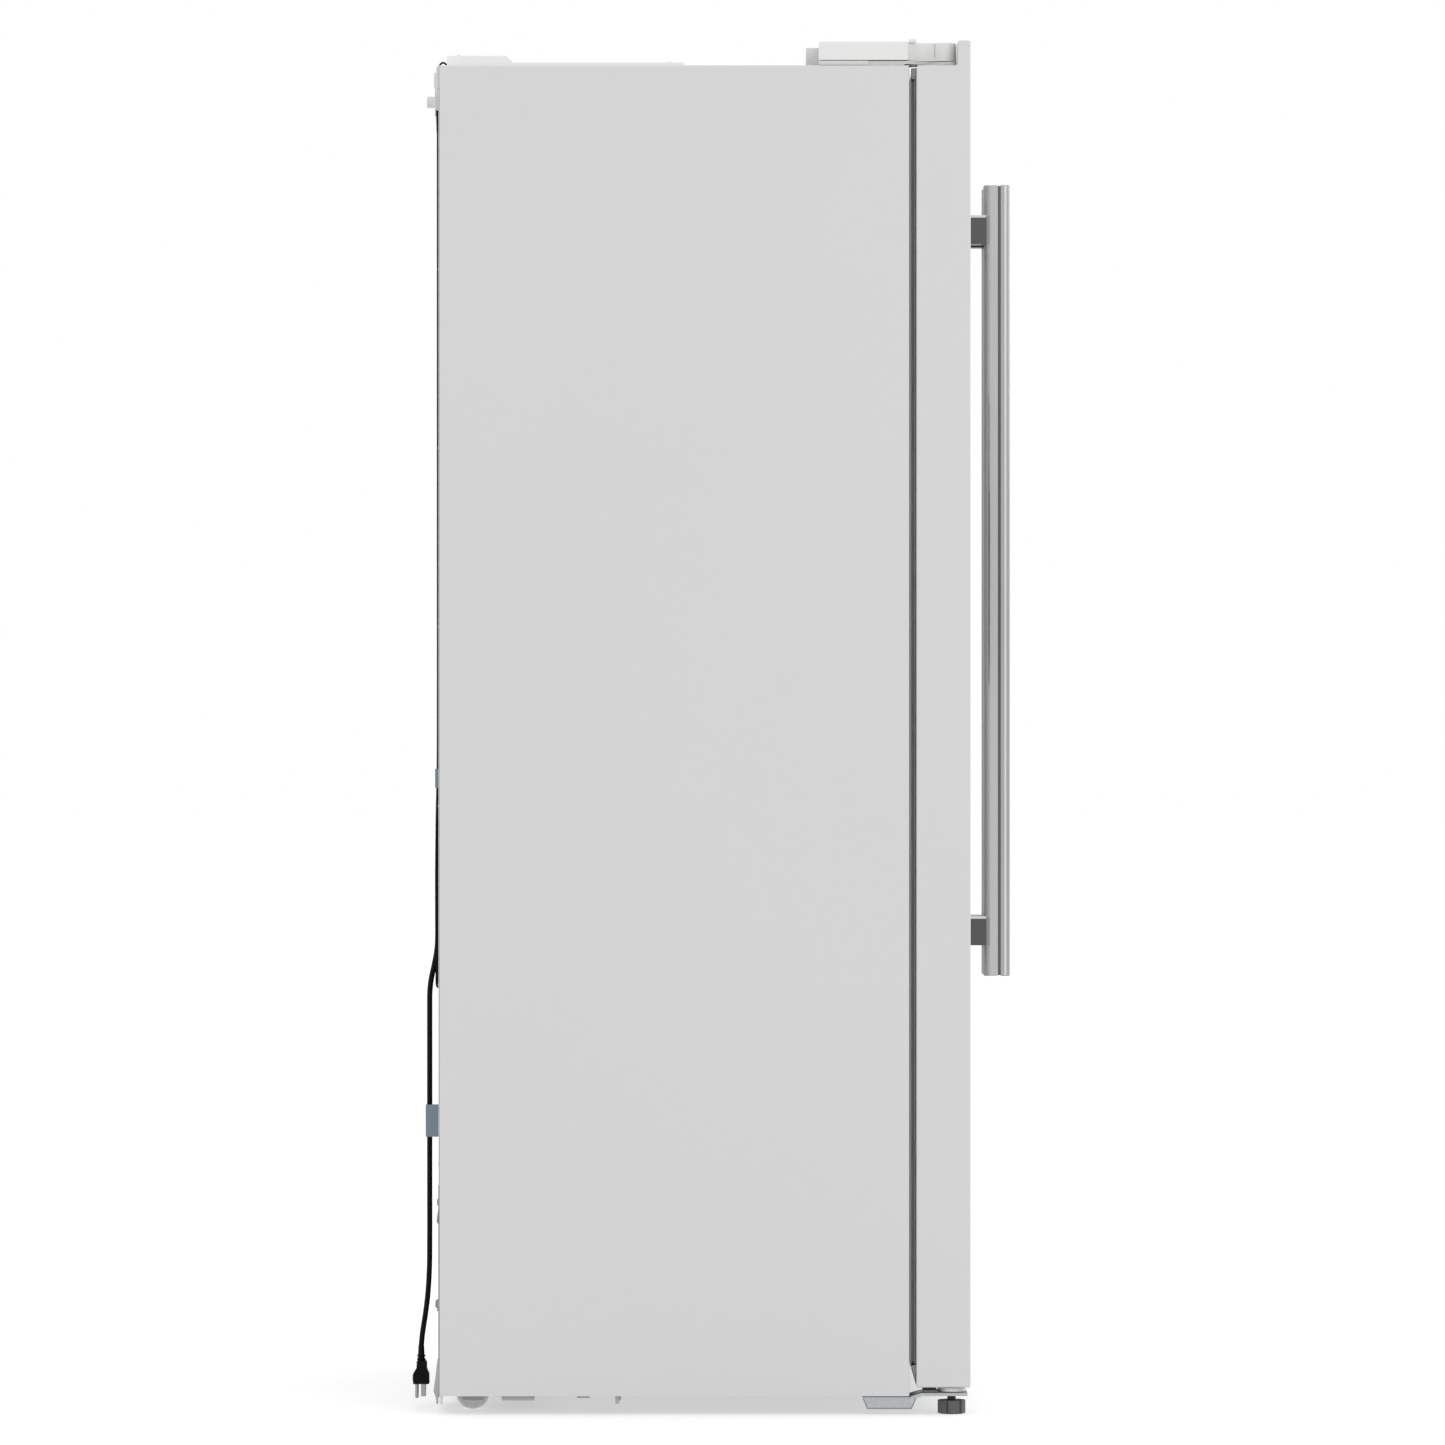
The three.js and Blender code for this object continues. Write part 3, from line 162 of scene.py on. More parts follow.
class Shader:
    """A material whose nodes feed one Principled BSDF, with patterns on Object coordinates."""

    def __init__(self, name, **sockets):
        self.material = bpy.data.materials.new(name)
        self.material.use_nodes = True
        self.tree = self.material.node_tree
        self.bsdf = self.tree.nodes["Principled BSDF"]
        for socket, value in sockets.items():
            self.bsdf.inputs[socket.replace("_", " ")].default_value = value
        self.place = self.tree.nodes.new("ShaderNodeTexCoord").outputs["Object"]

    def node(self, kind, links=(), **values):
        return put(self.tree, kind, links, **values)

    def noise(self, scale, detail=2.0, stretch=(1, 1, 1), roughness=0.5):
        mapping = self.node("ShaderNodeMapping", {"Vector": self.place}, Scale=stretch)
        return self.node(
            "ShaderNodeTexNoise", {"Vector": mapping.outputs[0]}, Scale=scale, Detail=detail,
            Roughness=roughness,
        ).outputs["Fac"]

    def ranged(self, factor, low, high, source=(0.3, 0.7)):
        made = self.node("ShaderNodeMapRange", {"Value": factor})
        for socket, value in zip(made.inputs[1:5], (*source, low, high)):
            socket.default_value = value
        return made.outputs[0]

    def colour(self, factor, dark, light):
        made = self.node("ShaderNodeMix", data_type="RGBA")
        self.tree.links.new(factor, made.inputs["Factor"])
        made.inputs[6].default_value = (*dark, 1)
        made.inputs[7].default_value = (*light, 1)
        self.tree.links.new(made.outputs[2], self.bsdf.inputs["Base Color"])

    def roughness(self, factor, low, high):
        self.tree.links.new(self.ranged(factor, low, high), self.bsdf.inputs["Roughness"])

    def bump(self, height, distance, strength=1.0):
        made = self.node("ShaderNodeBump", {"Height": height}, Distance=distance, Strength=strength)
        before = self.bsdf.inputs["Normal"].links
        if before:
            self.tree.links.new(before[0].from_socket, made.inputs["Normal"])
        self.tree.links.new(made.outputs[0], self.bsdf.inputs["Normal"])


def shade(colour, by):
    return [min(1.0, max(0.0, channel * by)) for channel in colour]


def coated_steel():
    """Satin paint: a fine orange peel, a faint cloudiness and rub marks in the gloss."""
    base = colours().paint
    made = Shader("coated_steel", Specular_IOR_Level=0.42, Coat_Weight=0.08, Coat_Roughness=0.25)
    made.colour(made.noise(2.2, 3), shade(base, 0.985), shade(base, 1.012))
    made.roughness(made.noise(9, 4), 0.36, 0.44)
    made.bump(made.noise(520, 2), 0.00003, 0.3)
    made.bump(made.noise(46, 1), 0.00004, 0.2)
    return made.material


def moulded(name, base, low, high, grain=0.00005, fine=1100, cloud=0.02, **sockets):
    """Moulded plastic: a fine spark texture, slow colour drift and uneven gloss."""
    made = Shader(name, **sockets)
    made.colour(made.noise(14, 3), shade(base, 1 - cloud), shade(base, 1 + cloud))
    made.roughness(made.noise(60, 3), low, high)
    made.bump(made.noise(fine, 2), grain, 0.6)
    return made.material


def brushed_steel(name, base, low, high, stretch=(900, 900, 5), bright=1.12):
    """Steel with hair lines along its length."""
    made = Shader(name, Metallic=1.0, Anisotropic=0.45)
    lines = made.noise(1.0, 4, stretch, 0.65)
    made.colour(lines, shade(base, 0.86), shade(base, bright))
    made.roughness(lines, low, high)
    made.bump(lines, 0.00002, 0.5)
    return made.material


def zinc_plate(name, base, scale=130, low=0.36, high=0.5, metallic=0.5):
    """Galvanised sheet: crystals of slightly different tone, with fine dulling over them."""
    made = Shader(name, Metallic=metallic)
    cells = made.node(
        "ShaderNodeTexVoronoi", {"Vector": made.place}, Scale=scale, Randomness=1.0
    ).outputs["Color"]
    grey = made.node("ShaderNodeRGBToBW", {"Color": cells}).outputs[0]
    made.colour(grey, shade(base, 0.9), shade(base, 1.09))
    made.roughness(made.noise(35, 5), low, high)
    made.bump(made.noise(260, 4), 0.00005, 0.4)
    return made.material


def clear(name, base, roughness, ior=1.49, frost=0.0):
    """Clear or lightly frosted moulding."""
    made = Shader(name, Transmission_Weight=0.92, IOR=ior)
    made.colour(made.noise(20, 2), shade(base, 0.97), base)
    made.roughness(made.noise(45, 3), roughness, roughness + 0.06 + frost)
    made.bump(made.noise(300, 2), 0.00003, 0.4)
    return made.material


def rubber(name, base, low=0.55, high=0.75, fine=700, dust=0.3, shine=0.35, sheen=0.04):
    """Soft rubber with a little dust."""
    made = Shader(name, Specular_IOR_Level=shine, Sheen_Weight=sheen)
    made.colour(made.noise(38, 5, roughness=0.7), shade(base, 1 - dust), shade(base, 1 + dust))
    made.roughness(made.noise(90, 3), low, high)
    made.bump(made.noise(fine, 3), 0.00008, 0.5)
    return made.material


def lit(name, base, strength):
    """A softly lit lens."""
    made = Shader(name, Emission_Color=(*base, 1), Emission_Strength=strength)
    made.colour(made.noise(120, 2), shade(base, 0.9), base)
    made.roughness(made.noise(80, 2), 0.3, 0.4)
    return made.material


FINISHES = {}


def make_finishes():
    c = colours()
    FINISHES.update(
        paint=coated_steel(),
        trim=moulded("moulded_trim", c.trim, 0.38, 0.5),
        liner=moulded("glossy_liner", c.liner, 0.16, 0.26, 0.00003, 500, 0.01, Coat_Weight=0.3),
        gasket=rubber("gasket_rubber", c.gasket, dust=0.06),
        steel=brushed_steel("polished_steel", c.steel, 0.16, 0.28),
        post=brushed_steel("dark_steel", c.post, 0.3, 0.42, (600, 600, 600), 1.3),
        zinc=zinc_plate("zinc_plate", c.zinc),
        bright_zinc=zinc_plate("bright_zinc", shade(c.zinc, 1.28), 420, 0.26, 0.4, 0.8),
        rim_zinc=zinc_plate("rim_zinc", shade(c.zinc, 1.5), 200, 0.4, 0.5, 0.2),
        hinge_steel=zinc_plate("hinge_steel", (0.58, 0.565, 0.53), 420, 0.35, 0.5, 0.3),
        # Near-black zinc for the band along the bottom brackets' arms under the doors: painted shade.
        dark_zinc=zinc_plate("dark_zinc", (0.11, 0.12, 0.125), 420, 0.35, 0.5, 0.8),
        # A lighter copy of the steel, for painted highlights along the handle bars' edges.
        steel_light=brushed_steel("steel_light", shade(c.steel, 1.4), 0.14, 0.24),
        # A darker copy of the steel, painted shade on the handle bars' front strips.
        steel_dim=brushed_steel("steel_dim", shade(c.steel, 0.78), 0.2, 0.3),
        post_edge=brushed_steel("post_edge", shade(c.steel, 0.55), 0.25, 0.35),
        seam=moulded("seam_shadow", (0.4, 0.4, 0.4), 0.6, 0.7),
        cover_white=moulded("cover_white", shade(c.trim, 1.2), 0.4, 0.5),
        # Near-black steel for the cores of the handle grooves: painted shade in the recess.
        groove=brushed_steel("groove_steel", shade(c.steel, 0.26), 0.3, 0.42),
        # A darker copy of the wheels' nylon for the base tabs: painted shade under the cabinet.
        tab=moulded("base_tab", shade(c.wheel, 0.52), 0.4, 0.55, 0.00008, 900, 0.05),
        # A darker copy of the zinc that paints shade: the dark outline along the bottom brackets' rolled rims;
        # also used on the back's rivets, screws and tabs.
        zinc_edge=zinc_plate("zinc_edge", shade(c.zinc, 0.62), 420, 0.3, 0.45),
        wheel=moulded("wheel_nylon", c.wheel, 0.4, 0.55, 0.00008, 900, 0.05),
        dark=moulded("dark_moulding", c.dark, 0.5, 0.68, 0.00012, 800, 0.12),
        black=moulded("black_gloss", c.black, 0.1, 0.2, 0.00001, 300, 0.1, Coat_Weight=0.5),
        black_matte=moulded("black_matte", shade(c.black, 1.8), 0.42, 0.56, 0.00008, 900, 0.15),
        cord=rubber("cord_jacket", shade(c.black, 0.6), 0.42, 0.55, 1200, 0.5, 0.1, 0.0),
        clip=moulded("clip_nylon", c.clip, 0.35, 0.48, 0.00006, 900, 0.08),
        foam=moulded("insulation_foam", (0.8, 0.68, 0.38), 0.85, 0.95, 0.0006, 400, 0.12),
        glass=clear("shelf_glass", (0.86, 0.96, 0.93), 0.01, 1.5),
        clear=clear("clear_plastic", (0.93, 0.96, 0.98), 0.06),
        frost=clear("frosted_plastic", (0.93, 0.95, 0.96), 0.32, frost=0.1),
        enamel=moulded("black_enamel", (0.018, 0.018, 0.02), 0.22, 0.36, 0.00012, 160, 0.2),
        fins=zinc_plate("aluminium_fins", (0.72, 0.73, 0.74), 240, 0.3, 0.45, 0.95),
        coil=zinc_plate("coil_steel", (0.06, 0.06, 0.065), 300, 0.4, 0.55, 0.5),
        blade=brushed_steel("plug_nickel", (0.34, 0.34, 0.33), 0.2, 0.32, (60, 60, 900)),
        lamp=lit("lamp_lens", (0.95, 0.97, 1.0), 0.6),
        icon=lit("icon_light", (0.6, 0.75, 0.9), 0.45),
    )


SLOT_FINISHES = {
    "white_paint": "paint", "zinc_steel": "zinc", "foam": "foam", "liner_plastic": "liner",
    "white_plastic": "trim", "shelf_glass": "glass", "clear_plastic": "clear",
    "gasket_rubber": "gasket", "black_plastic": "black", "grey_plastic": "dark",
    "clip_plastic": "clip", "handle_steel": "steel", "post_steel": "post", "black_paint": "enamel",
    "coil_steel": "coil", "aluminium_fins": "fins", "cord_rubber": "cord",
}


def finish_frame():
    """Gives every CAD node the finish of its material slot."""
    for entry in frame["record"]["subparts"]:
        node = frame["nodes"][entry["node"]]
        finish = FINISHES[SLOT_FINISHES[entry["material_slot"]]]
        if not node.material_slots:
            node.data.materials.append(finish)
        for held in node.material_slots:
            held.material = finish


# ---- Making pieces -----------------------------------------------------------------------------

END_FACE = 0.9  # how far a face's normal lies along a lane for the face to be an end


def at(point, lane, along):
    """A point's two numbers with its place along a lane (0, 1, 2 for X, Y, Z) put in."""
    place = list(point)
    place.insert(lane, along)
    return Vector(place)


def spread(side, near, far):
    """Ends across X of what lies between two distances in from a side's edge, lower first."""
    return sorted((side * (HALF - near), side * (HALF - far)))


def bridge(solid, one, two):
    """Faces between two closed rows of points, either of which may be a single point."""
    steps = max(len(one), len(two))
    for k in range(steps):
        m = (k + 1) % steps
        corners = []
        for vert in (one[k % len(one)], one[m % len(one)], two[m % len(two)], two[k % len(two)]):
            if vert not in corners:
                corners.append(vert)
        solid.faces.new(corners)


def round_off(solid, radius, segments, angle, lane=None):
    """Bevels edges sharper than an angle in degrees, or only those round the ends of a lane."""
    sharp = [
        edge for edge in solid.edges
        if len(edge.link_faces) == 2 and edge.calc_face_angle(0) > math.radians(angle)
        and (lane is None or any(abs(face.normal[lane]) > END_FACE for face in edge.link_faces))
    ]
    bmesh.ops.bevel(
        solid, geom=sharp, offset=radius, segments=segments, profile=0.5, affect="EDGES",
        clamp_overlap=True,
    )


def stand(name, data):
    """An object that holds a mesh, a lamp or a camera, linked to the scene."""
    made = bpy.data.objects.new(name, data)
    bpy.context.scene.collection.objects.link(made)
    return made


def linked(name, mesh):
    """An object made from a bmesh, which is freed."""
    data = bpy.data.meshes.new(name)
    mesh.to_mesh(data)
    mesh.free()
    return stand(name, data)


class Part:
    """One piece, put together from rounded solids that each have a finish."""

    def __init__(self, name):
        self.name = name
        self.mesh = bmesh.new()
        self.finishes = []

    def take(self, solid, finish):
        """Adds a closed solid in a finish."""
        if finish not in self.finishes:
            self.finishes.append(finish)
        bmesh.ops.recalc_face_normals(solid, faces=solid.faces)
        for face in solid.faces:
            face.material_index = self.finishes.index(finish)
            face.smooth = True
        held = bpy.data.meshes.new("held")
        solid.to_mesh(held)
        solid.free()
        self.mesh.from_mesh(held)
        bpy.data.meshes.remove(held)
        return self

    def prism(self, outline, axis, ends, finish, radius=0.0, segments=3, only_ends=False):
        """An outline pushed along an axis. X takes (y, z), Y takes (x, z) and Z takes (x, y)."""
        solid = bmesh.new()
        lane = "XYZ".index(axis)
        caps = [
            [solid.verts.new(at(point, lane, along)) for point in outline] for along in sorted(ends)
        ]
        for cap in caps:
            solid.faces.new(cap)
        bridge(solid, *caps)
        bmesh.ops.recalc_face_normals(solid, faces=solid.faces)
        if radius:
            round_off(solid, radius, segments, 24, lane if only_ends else None)
        return self.take(solid, finish)

    def block(self, low, high, finish, radius=0.0006, segments=2):
        """A rounded block between two corners."""
        outline = [(low[0], low[1]), (high[0], low[1]), (high[0], high[1]), (low[0], high[1])]
        return self.prism(outline, "Z", (low[2], high[2]), finish, radius, segments)

    def turned(self, profile, centre, finish, axis="Z", steps=32):
        """A profile of (radius, along) turned about an axis through centre."""
        solid = bmesh.new()
        lane = "XYZ".index(axis)
        rings = []
        for radius, along in profile:
            ring = []
            for k in range(steps if radius else 1):
                angle = 2 * math.pi * k / steps
                spot = at((radius * math.cos(angle), radius * math.sin(angle)), lane, along)
                ring.append(solid.verts.new(Vector(centre) + spot))
            rings.append(ring)
        pairs = list(zip(rings, rings[1:]))
        if len(rings[0]) > 1 and len(rings[-1]) > 1:
            pairs.append((rings[-1], rings[0]))
        for one, two in pairs:
            bridge(solid, one, two)
        return self.take(solid, finish)

    def ring(self, low, high, profile, finish):
        """A frame round the rectangle low..high in X and Z, mitred, from a closed (inset, y) profile."""
        solid = bmesh.new()
        rows = []
        for inset, y in profile:
            x0, x1, z0, z1 = low[0] + inset, high[0] - inset, low[1] + inset, high[1] - inset
            corners = ((x0, z0), (x1, z0), (x1, z1), (x0, z1))
            rows.append([solid.verts.new((x, y, z)) for x, z in corners])
        for one, two in zip(rows, [*rows[1:], rows[0]]):
            bridge(solid, one, two)
        return self.take(solid, finish)

    def tube(self, points, radius, finish, sides=16):
        """A round tube along points, closed at both ends, of one radius or one for each point."""
        solid = bmesh.new()
        rings = []
        side = Vector((1, 0, 0))
        for i, point in enumerate(points):
            ahead = (points[min(i + 1, len(points) - 1)] - points[max(i - 1, 0)]).normalized()
            side = (side - ahead * side.dot(ahead)).normalized()
            other = ahead.cross(side)
            r = radius[i] if isinstance(radius, list) else radius
            ring = []
            for k in range(sides):
                angle = 2 * math.pi * k / sides
                ring.append(solid.verts.new(point + r * (math.cos(angle) * side + math.sin(angle) * other)))
            rings.append(ring)
        for one, two in zip(rings, rings[1:]):
            bridge(solid, one, two)
        solid.faces.new(rings[0])
        solid.faces.new(rings[-1])
        return self.take(solid, finish)

    def copy(self, node, finish, radius=0.0008, segments=2):
        """A CAD node's shape with its edges rounded."""
        solid = bmesh.new()
        solid.from_mesh(frame["nodes"][node].data)
        bmesh.ops.remove_doubles(solid, verts=solid.verts, dist=2e-6)
        bmesh.ops.dissolve_limit(
            solid, angle_limit=math.radians(1), verts=solid.verts, edges=solid.edges, delimit=set()
        )
        round_off(solid, radius, segments, 35)
        return self.take(solid, finish)

    def done(self, body, slot, *nodes, sharp=40, wall=0.0):
        """Links the piece, evens its shading and lets it ride on a body in place of its CAD nodes."""
        piece = linked(self.name, self.mesh)
        for finish in self.finishes:
            piece.data.materials.append(FINISHES[finish])
        piece.data.set_sharp_from_angle(angle=math.radians(sharp))
        if wall:
            shell = piece.modifiers.new("wall", "SOLIDIFY")
            shell.thickness = wall
            shell.offset = -1
        even = piece.modifiers.new("even_normals", "WEIGHTED_NORMAL")
        even.keep_sharp = True
        settle(piece)
        return settle_in(piece, body, slot, *nodes)


def settle(piece):
    """Turns a piece and its modifiers into a plain mesh."""
    bpy.context.view_layer.update()
    graph = bpy.context.evaluated_depsgraph_get()
    data = bpy.data.meshes.new_from_object(
        piece.evaluated_get(graph), preserve_all_data_layers=True, depsgraph=graph
    )
    data.name = piece.name
    piece.modifiers.clear()
    piece.data = data


def settle_in(piece, body, slot, *nodes):
    """Lets a finished piece ride on a body, in place of its CAD nodes."""
    if nodes:
        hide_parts(*nodes)
    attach(piece, body)
    return piece


def touch(node, start, way):
    """Where a straight line first meets a CAD node, or None."""
    data = frame["nodes"][node].data
    tree = BVHTree.FromPolygons([v.co for v in data.vertices], [p.vertices for p in data.polygons])
    return tree.ray_cast(Vector(start), Vector(way))[0]


def smooth_path(points, per=8):
    """Centripetal curve through points, as closely spaced points."""
    points = [Vector(p) for p in points]
    padded = [2 * points[0] - points[1], *points, 2 * points[-1] - points[-2]]
    path = []
    for i in range(1, len(padded) - 2):
        p0, p1, p2, p3 = padded[i - 1:i + 3]
        t = [0.0]
        for a, b in ((p0, p1), (p1, p2), (p2, p3)):
            t.append(t[-1] + max((b - a).length, 1e-9) ** 0.5)
        for k in range(per):
            u = t[1] + (t[2] - t[1]) * k / per
            a1 = p0 * ((t[1] - u) / (t[1] - t[0])) + p1 * ((u - t[0]) / (t[1] - t[0]))
            a2 = p1 * ((t[2] - u) / (t[2] - t[1])) + p2 * ((u - t[1]) / (t[2] - t[1]))
            a3 = p2 * ((t[3] - u) / (t[3] - t[2])) + p3 * ((u - t[2]) / (t[3] - t[2]))
            b1 = a1 * ((t[2] - u) / (t[2] - t[0])) + a2 * ((u - t[0]) / (t[2] - t[0]))
            b2 = a2 * ((t[3] - u) / (t[3] - t[1])) + a3 * ((u - t[1]) / (t[3] - t[1]))
            path.append(b1 * ((t[2] - u) / (t[2] - t[1])) + b2 * ((u - t[1]) / (t[2] - t[1])))
    return [*path, points[-1]]


# ---- Repeated small parts ----------------------------------------------------------------------


def node_tree(name, sockets):
    """A Geometry Nodes tree with named inputs. Returns it with its input and output nodes."""
    tree = bpy.data.node_groups.new(name, "GeometryNodeTree")
    tree.interface.new_socket("Geometry", in_out="INPUT", socket_type="NodeSocketGeometry")
    for label, kind in sockets:
        tree.interface.new_socket(label, in_out="INPUT", socket_type=f"NodeSocket{kind}")
    tree.interface.new_socket("Geometry", in_out="OUTPUT", socket_type="NodeSocketGeometry")
    return tree, tree.nodes.new("NodeGroupInput"), tree.nodes.new("NodeGroupOutput")


def end_tree(tree, instances, finish, output):
    real = put(tree, "GeometryNodeRealizeInstances", {0: instances})
    painted = put(tree, "GeometryNodeSetMaterial", {"Geometry": real.outputs[0], "Material": finish})
    tree.links.new(painted.outputs[0], output.inputs[0])


def screw_tree():
    """Domed cross-head screws on the points of a mesh, each turned at random."""
    tree, given, out = node_tree(
        "screw_heads",
        (("Radius", "Float"), ("Height", "Float"), ("Facing", "Vector"), ("Seed", "Int"),
         ("Finish", "Material")),
    )
    dome = put(tree, "GeometryNodeMeshUVSphere", Segments=20, Rings=10, Radius=1.0)
    slots = [
        put(tree, "GeometryNodeMeshCube", Size=size).outputs[0]
        for size in ((1.15, 0.2, 1.0), (0.2, 1.15, 1.0))
    ]
    cross = put(tree, "GeometryNodeJoinGeometry")
    for each in slots:
        tree.links.new(each, cross.inputs[0])
    raised = put(tree, "GeometryNodeTransform", {"Geometry": cross.outputs[0]}, Translation=(0, 0, 1.0))
    head = put(
        tree, "GeometryNodeMeshBoolean", {0: dome.outputs[0], 1: raised.outputs[0]},
        operation="DIFFERENCE",
    )
    aligned = put(tree, "FunctionNodeAlignRotationToVector", {"Vector": given.outputs["Facing"]}, axis="Z")
    spin = put(tree, "FunctionNodeRandomValue", {"Seed": given.outputs["Seed"]}, data_type="FLOAT")
    spin.inputs[3].default_value = math.pi
    about = put(tree, "FunctionNodeAxisAngleToRotation", {"Angle": spin.outputs[1]})
    turned = put(
        tree, "FunctionNodeRotateRotation", {0: aligned.outputs[0], 1: about.outputs[0]},
        rotation_space="LOCAL",
    )
    scale = put(
        tree, "ShaderNodeCombineXYZ",
        {0: given.outputs["Radius"], 1: given.outputs["Radius"], 2: given.outputs["Height"]},
    )
    placed = put(
        tree, "GeometryNodeInstanceOnPoints",
        {"Points": given.outputs[0], "Instance": head.outputs[0], "Rotation": turned.outputs[0],
         "Scale": scale.outputs[0]},
    )
    end_tree(tree, placed.outputs[0], given.outputs["Finish"], out)
    return tree


def row(tree, given):
    """The points of a straight row, by its count, start and step."""
    line = put(
        tree, "GeometryNodeMeshLine",
        {"Count": given.outputs["Count"], "Start Location": given.outputs["Start"],
         "Offset": given.outputs["Step"]}, mode="OFFSET",
    )
    return line.outputs[0]


def slat_tree():
    """A straight row of equal bars."""
    tree, given, out = node_tree(
        "slat_row",
        (("Count", "Int"), ("Start", "Vector"), ("Step", "Vector"), ("Size", "Vector"),
         ("Finish", "Material")),
    )
    bar = put(tree, "GeometryNodeMeshCube", {"Size": given.outputs["Size"]})
    placed = put(
        tree, "GeometryNodeInstanceOnPoints", {"Points": row(tree, given), "Instance": bar.outputs[0]}
    )
    end_tree(tree, placed.outputs[0], given.outputs["Finish"], out)
    return tree


def ring_tree():
    """A row of round rings, each a little wider than the one before."""
    tree, given, out = node_tree(
        "ring_row",
        (("Count", "Int"), ("Start", "Vector"), ("Step", "Vector"), ("Radius", "Float"),
         ("Thickness", "Float"), ("Growth", "Float"), ("Finish", "Material")),
    )
    loop = put(tree, "GeometryNodeCurvePrimitiveCircle", {"Radius": given.outputs["Radius"]}, Resolution=28)
    section = put(
        tree, "GeometryNodeCurvePrimitiveCircle", {"Radius": given.outputs["Thickness"]}, Resolution=10
    )
    wire = put(tree, "GeometryNodeCurveToMesh", {0: loop.outputs[0], 1: section.outputs[0]})
    index = put(tree, "GeometryNodeInputIndex")
    wider = put(
        tree, "ShaderNodeMath", {0: index.outputs[0], 1: given.outputs["Growth"]}, operation="MULTIPLY"
    )
    scale = put(tree, "ShaderNodeMath", {0: wider.outputs[0]}, operation="ADD")
    scale.inputs[1].default_value = 1.0
    placed = put(
        tree, "GeometryNodeInstanceOnPoints",
        {"Points": row(tree, given), "Instance": wire.outputs[0], "Scale": scale.outputs[0]},
    )
    end_tree(tree, placed.outputs[0], given.outputs["Finish"], out)
    return tree


TREES = {}


def grown(name, tree, points, body, slot, **values):
    """A piece made by one of the trees, as a plain mesh."""
    if tree not in TREES:
        TREES[tree] = {"screws": screw_tree, "slats": slat_tree, "rings": ring_tree}[tree]()
    group = TREES[tree]
    data = bpy.data.meshes.new(name)
    data.from_pydata([tuple(p) for p in points] or [(0, 0, 0)], [], [])
    piece = stand(name, data)
    made = piece.modifiers.new("build", "NODES")
    made.node_group = group
    for item in group.interface.items_tree:
        if item.in_out == "INPUT" and item.name in values:
            made[item.identifier] = values[item.name]
    settle(piece)
    for face in piece.data.polygons:
        face.use_smooth = tree != "slats"
    piece.data.set_sharp_from_angle(angle=math.radians(40))
    return settle_in(piece, body, slot)


def screws(name, points, facing, body="cabinet", slot="zinc_steel", finish="bright_zinc", scale=1.0):
    radius = sizes().screw * scale
    return grown(
        name, "screws", points, body, slot, Radius=radius, Height=radius * 0.55,
        Facing=facing, Seed=len(name), Finish=FINISHES[finish],
    )


# ---- Stage -------------------------------------------------------------------------------------

FLOOR_RADIUS = 60
LAMP_SIZE = 3.0
LAMP_AIM = 0.9
LAMPS = (
    ("key", (-5.0, -3.0, 3.6), 45), ("front", (1.5, -6.0, 3.0), 60), ("rear", (-1.5, 6.0, 2.6), 30),
    ("far", (6.0, 1.0, 3.0), 30), ("top", (0.0, 0.01, 4.5), 11),
)


class FRIDGE_OT_stage(bpy.types.Operator):
    """Adds the pale floor, the soft light and the camera"""

    bl_idname = "fridge.stage"
    bl_label = "Stage"

    def execute(self, context):
        stage = context.scene.fridge_stage
        floor = bpy.data.meshes.new("floor")
        turns = [a * math.pi / 32 for a in range(64)]
        rim = [(FLOOR_RADIUS * math.cos(turn), FLOOR_RADIUS * math.sin(turn), 0) for turn in turns]
        floor.from_pydata(rim, [], [list(range(64))])
        surface = Shader("studio_floor", Emission_Color=(1, 1, 1, 1), Emission_Strength=stage.glow)
        surface.colour(surface.noise(0.7, 2), shade(stage.floor, 0.995), stage.floor)
        surface.roughness(surface.noise(3, 2), 0.7, 0.8)
        floor.materials.append(surface.material)
        ground = stand("studio_floor", floor)

        world = bpy.data.worlds.new("even_light")
        world.use_nodes = True
        sky = world.node_tree.nodes["Background"]
        sky.inputs["Color"].default_value = (1, 1, 1, 1)
        sky.inputs["Strength"].default_value = stage.sky
        context.scene.world = world
        for name, place, power in LAMPS:
            lamp = bpy.data.lights.new(name, "AREA")
            lamp.size = LAMP_SIZE
            lamp.energy = power
            held = stand(name, lamp)
            held.location = place
            aim = Vector((0, 0, LAMP_AIM)) - Vector(place)
            held.rotation_euler = aim.to_track_quat("-Z", "Y").to_euler()

        lens = bpy.data.cameras.new("camera")
        lens.lens = stage.lens
        lens.sensor_width = 36.0
        lens.clip_end = 200.0
        camera = stand("camera", lens)
        camera.location = (-stage.distance, stage.aside, stage.eye)
        camera.rotation_euler = (math.pi / 2, 0.0, -math.pi / 2)
        context.scene.camera = camera
        context.scene.view_settings.view_transform = "Standard"
        context.scene.view_settings.look = "None"
        return {"FINISHED"}


# ---- Cord --------------------------------------------------------------------------------------

CORD_X = -0.280
CORD_END = 0.0288  # behind the back panel
# (behind the back panel, above the floor), as the CAD's route
CORD_ROUTE = (
    (0.0051, 1.694), (0.0051, 1.503), (0.0051, 1.312), (0.0051, 1.121), (0.0051, 0.930),
    (0.0052, 0.860), (0.0056, 0.820), (0.0066, 0.770), (0.0074, 0.700), (0.0074, 0.640),
    (0.0076, 0.604), (0.0094, 0.588), (0.0126, 0.572), (0.0159, 0.556), (0.0176, 0.540),
    (0.0178, 0.515), (0.0178, 0.460), (0.0178, 0.372), (0.0178, 0.290), (0.0178, 0.220),
    (0.0182, 0.180), (0.0202, 0.146), (0.0236, 0.118), (0.027, 0.096), (0.0286, 0.080), (0.0288, 0.073),
)


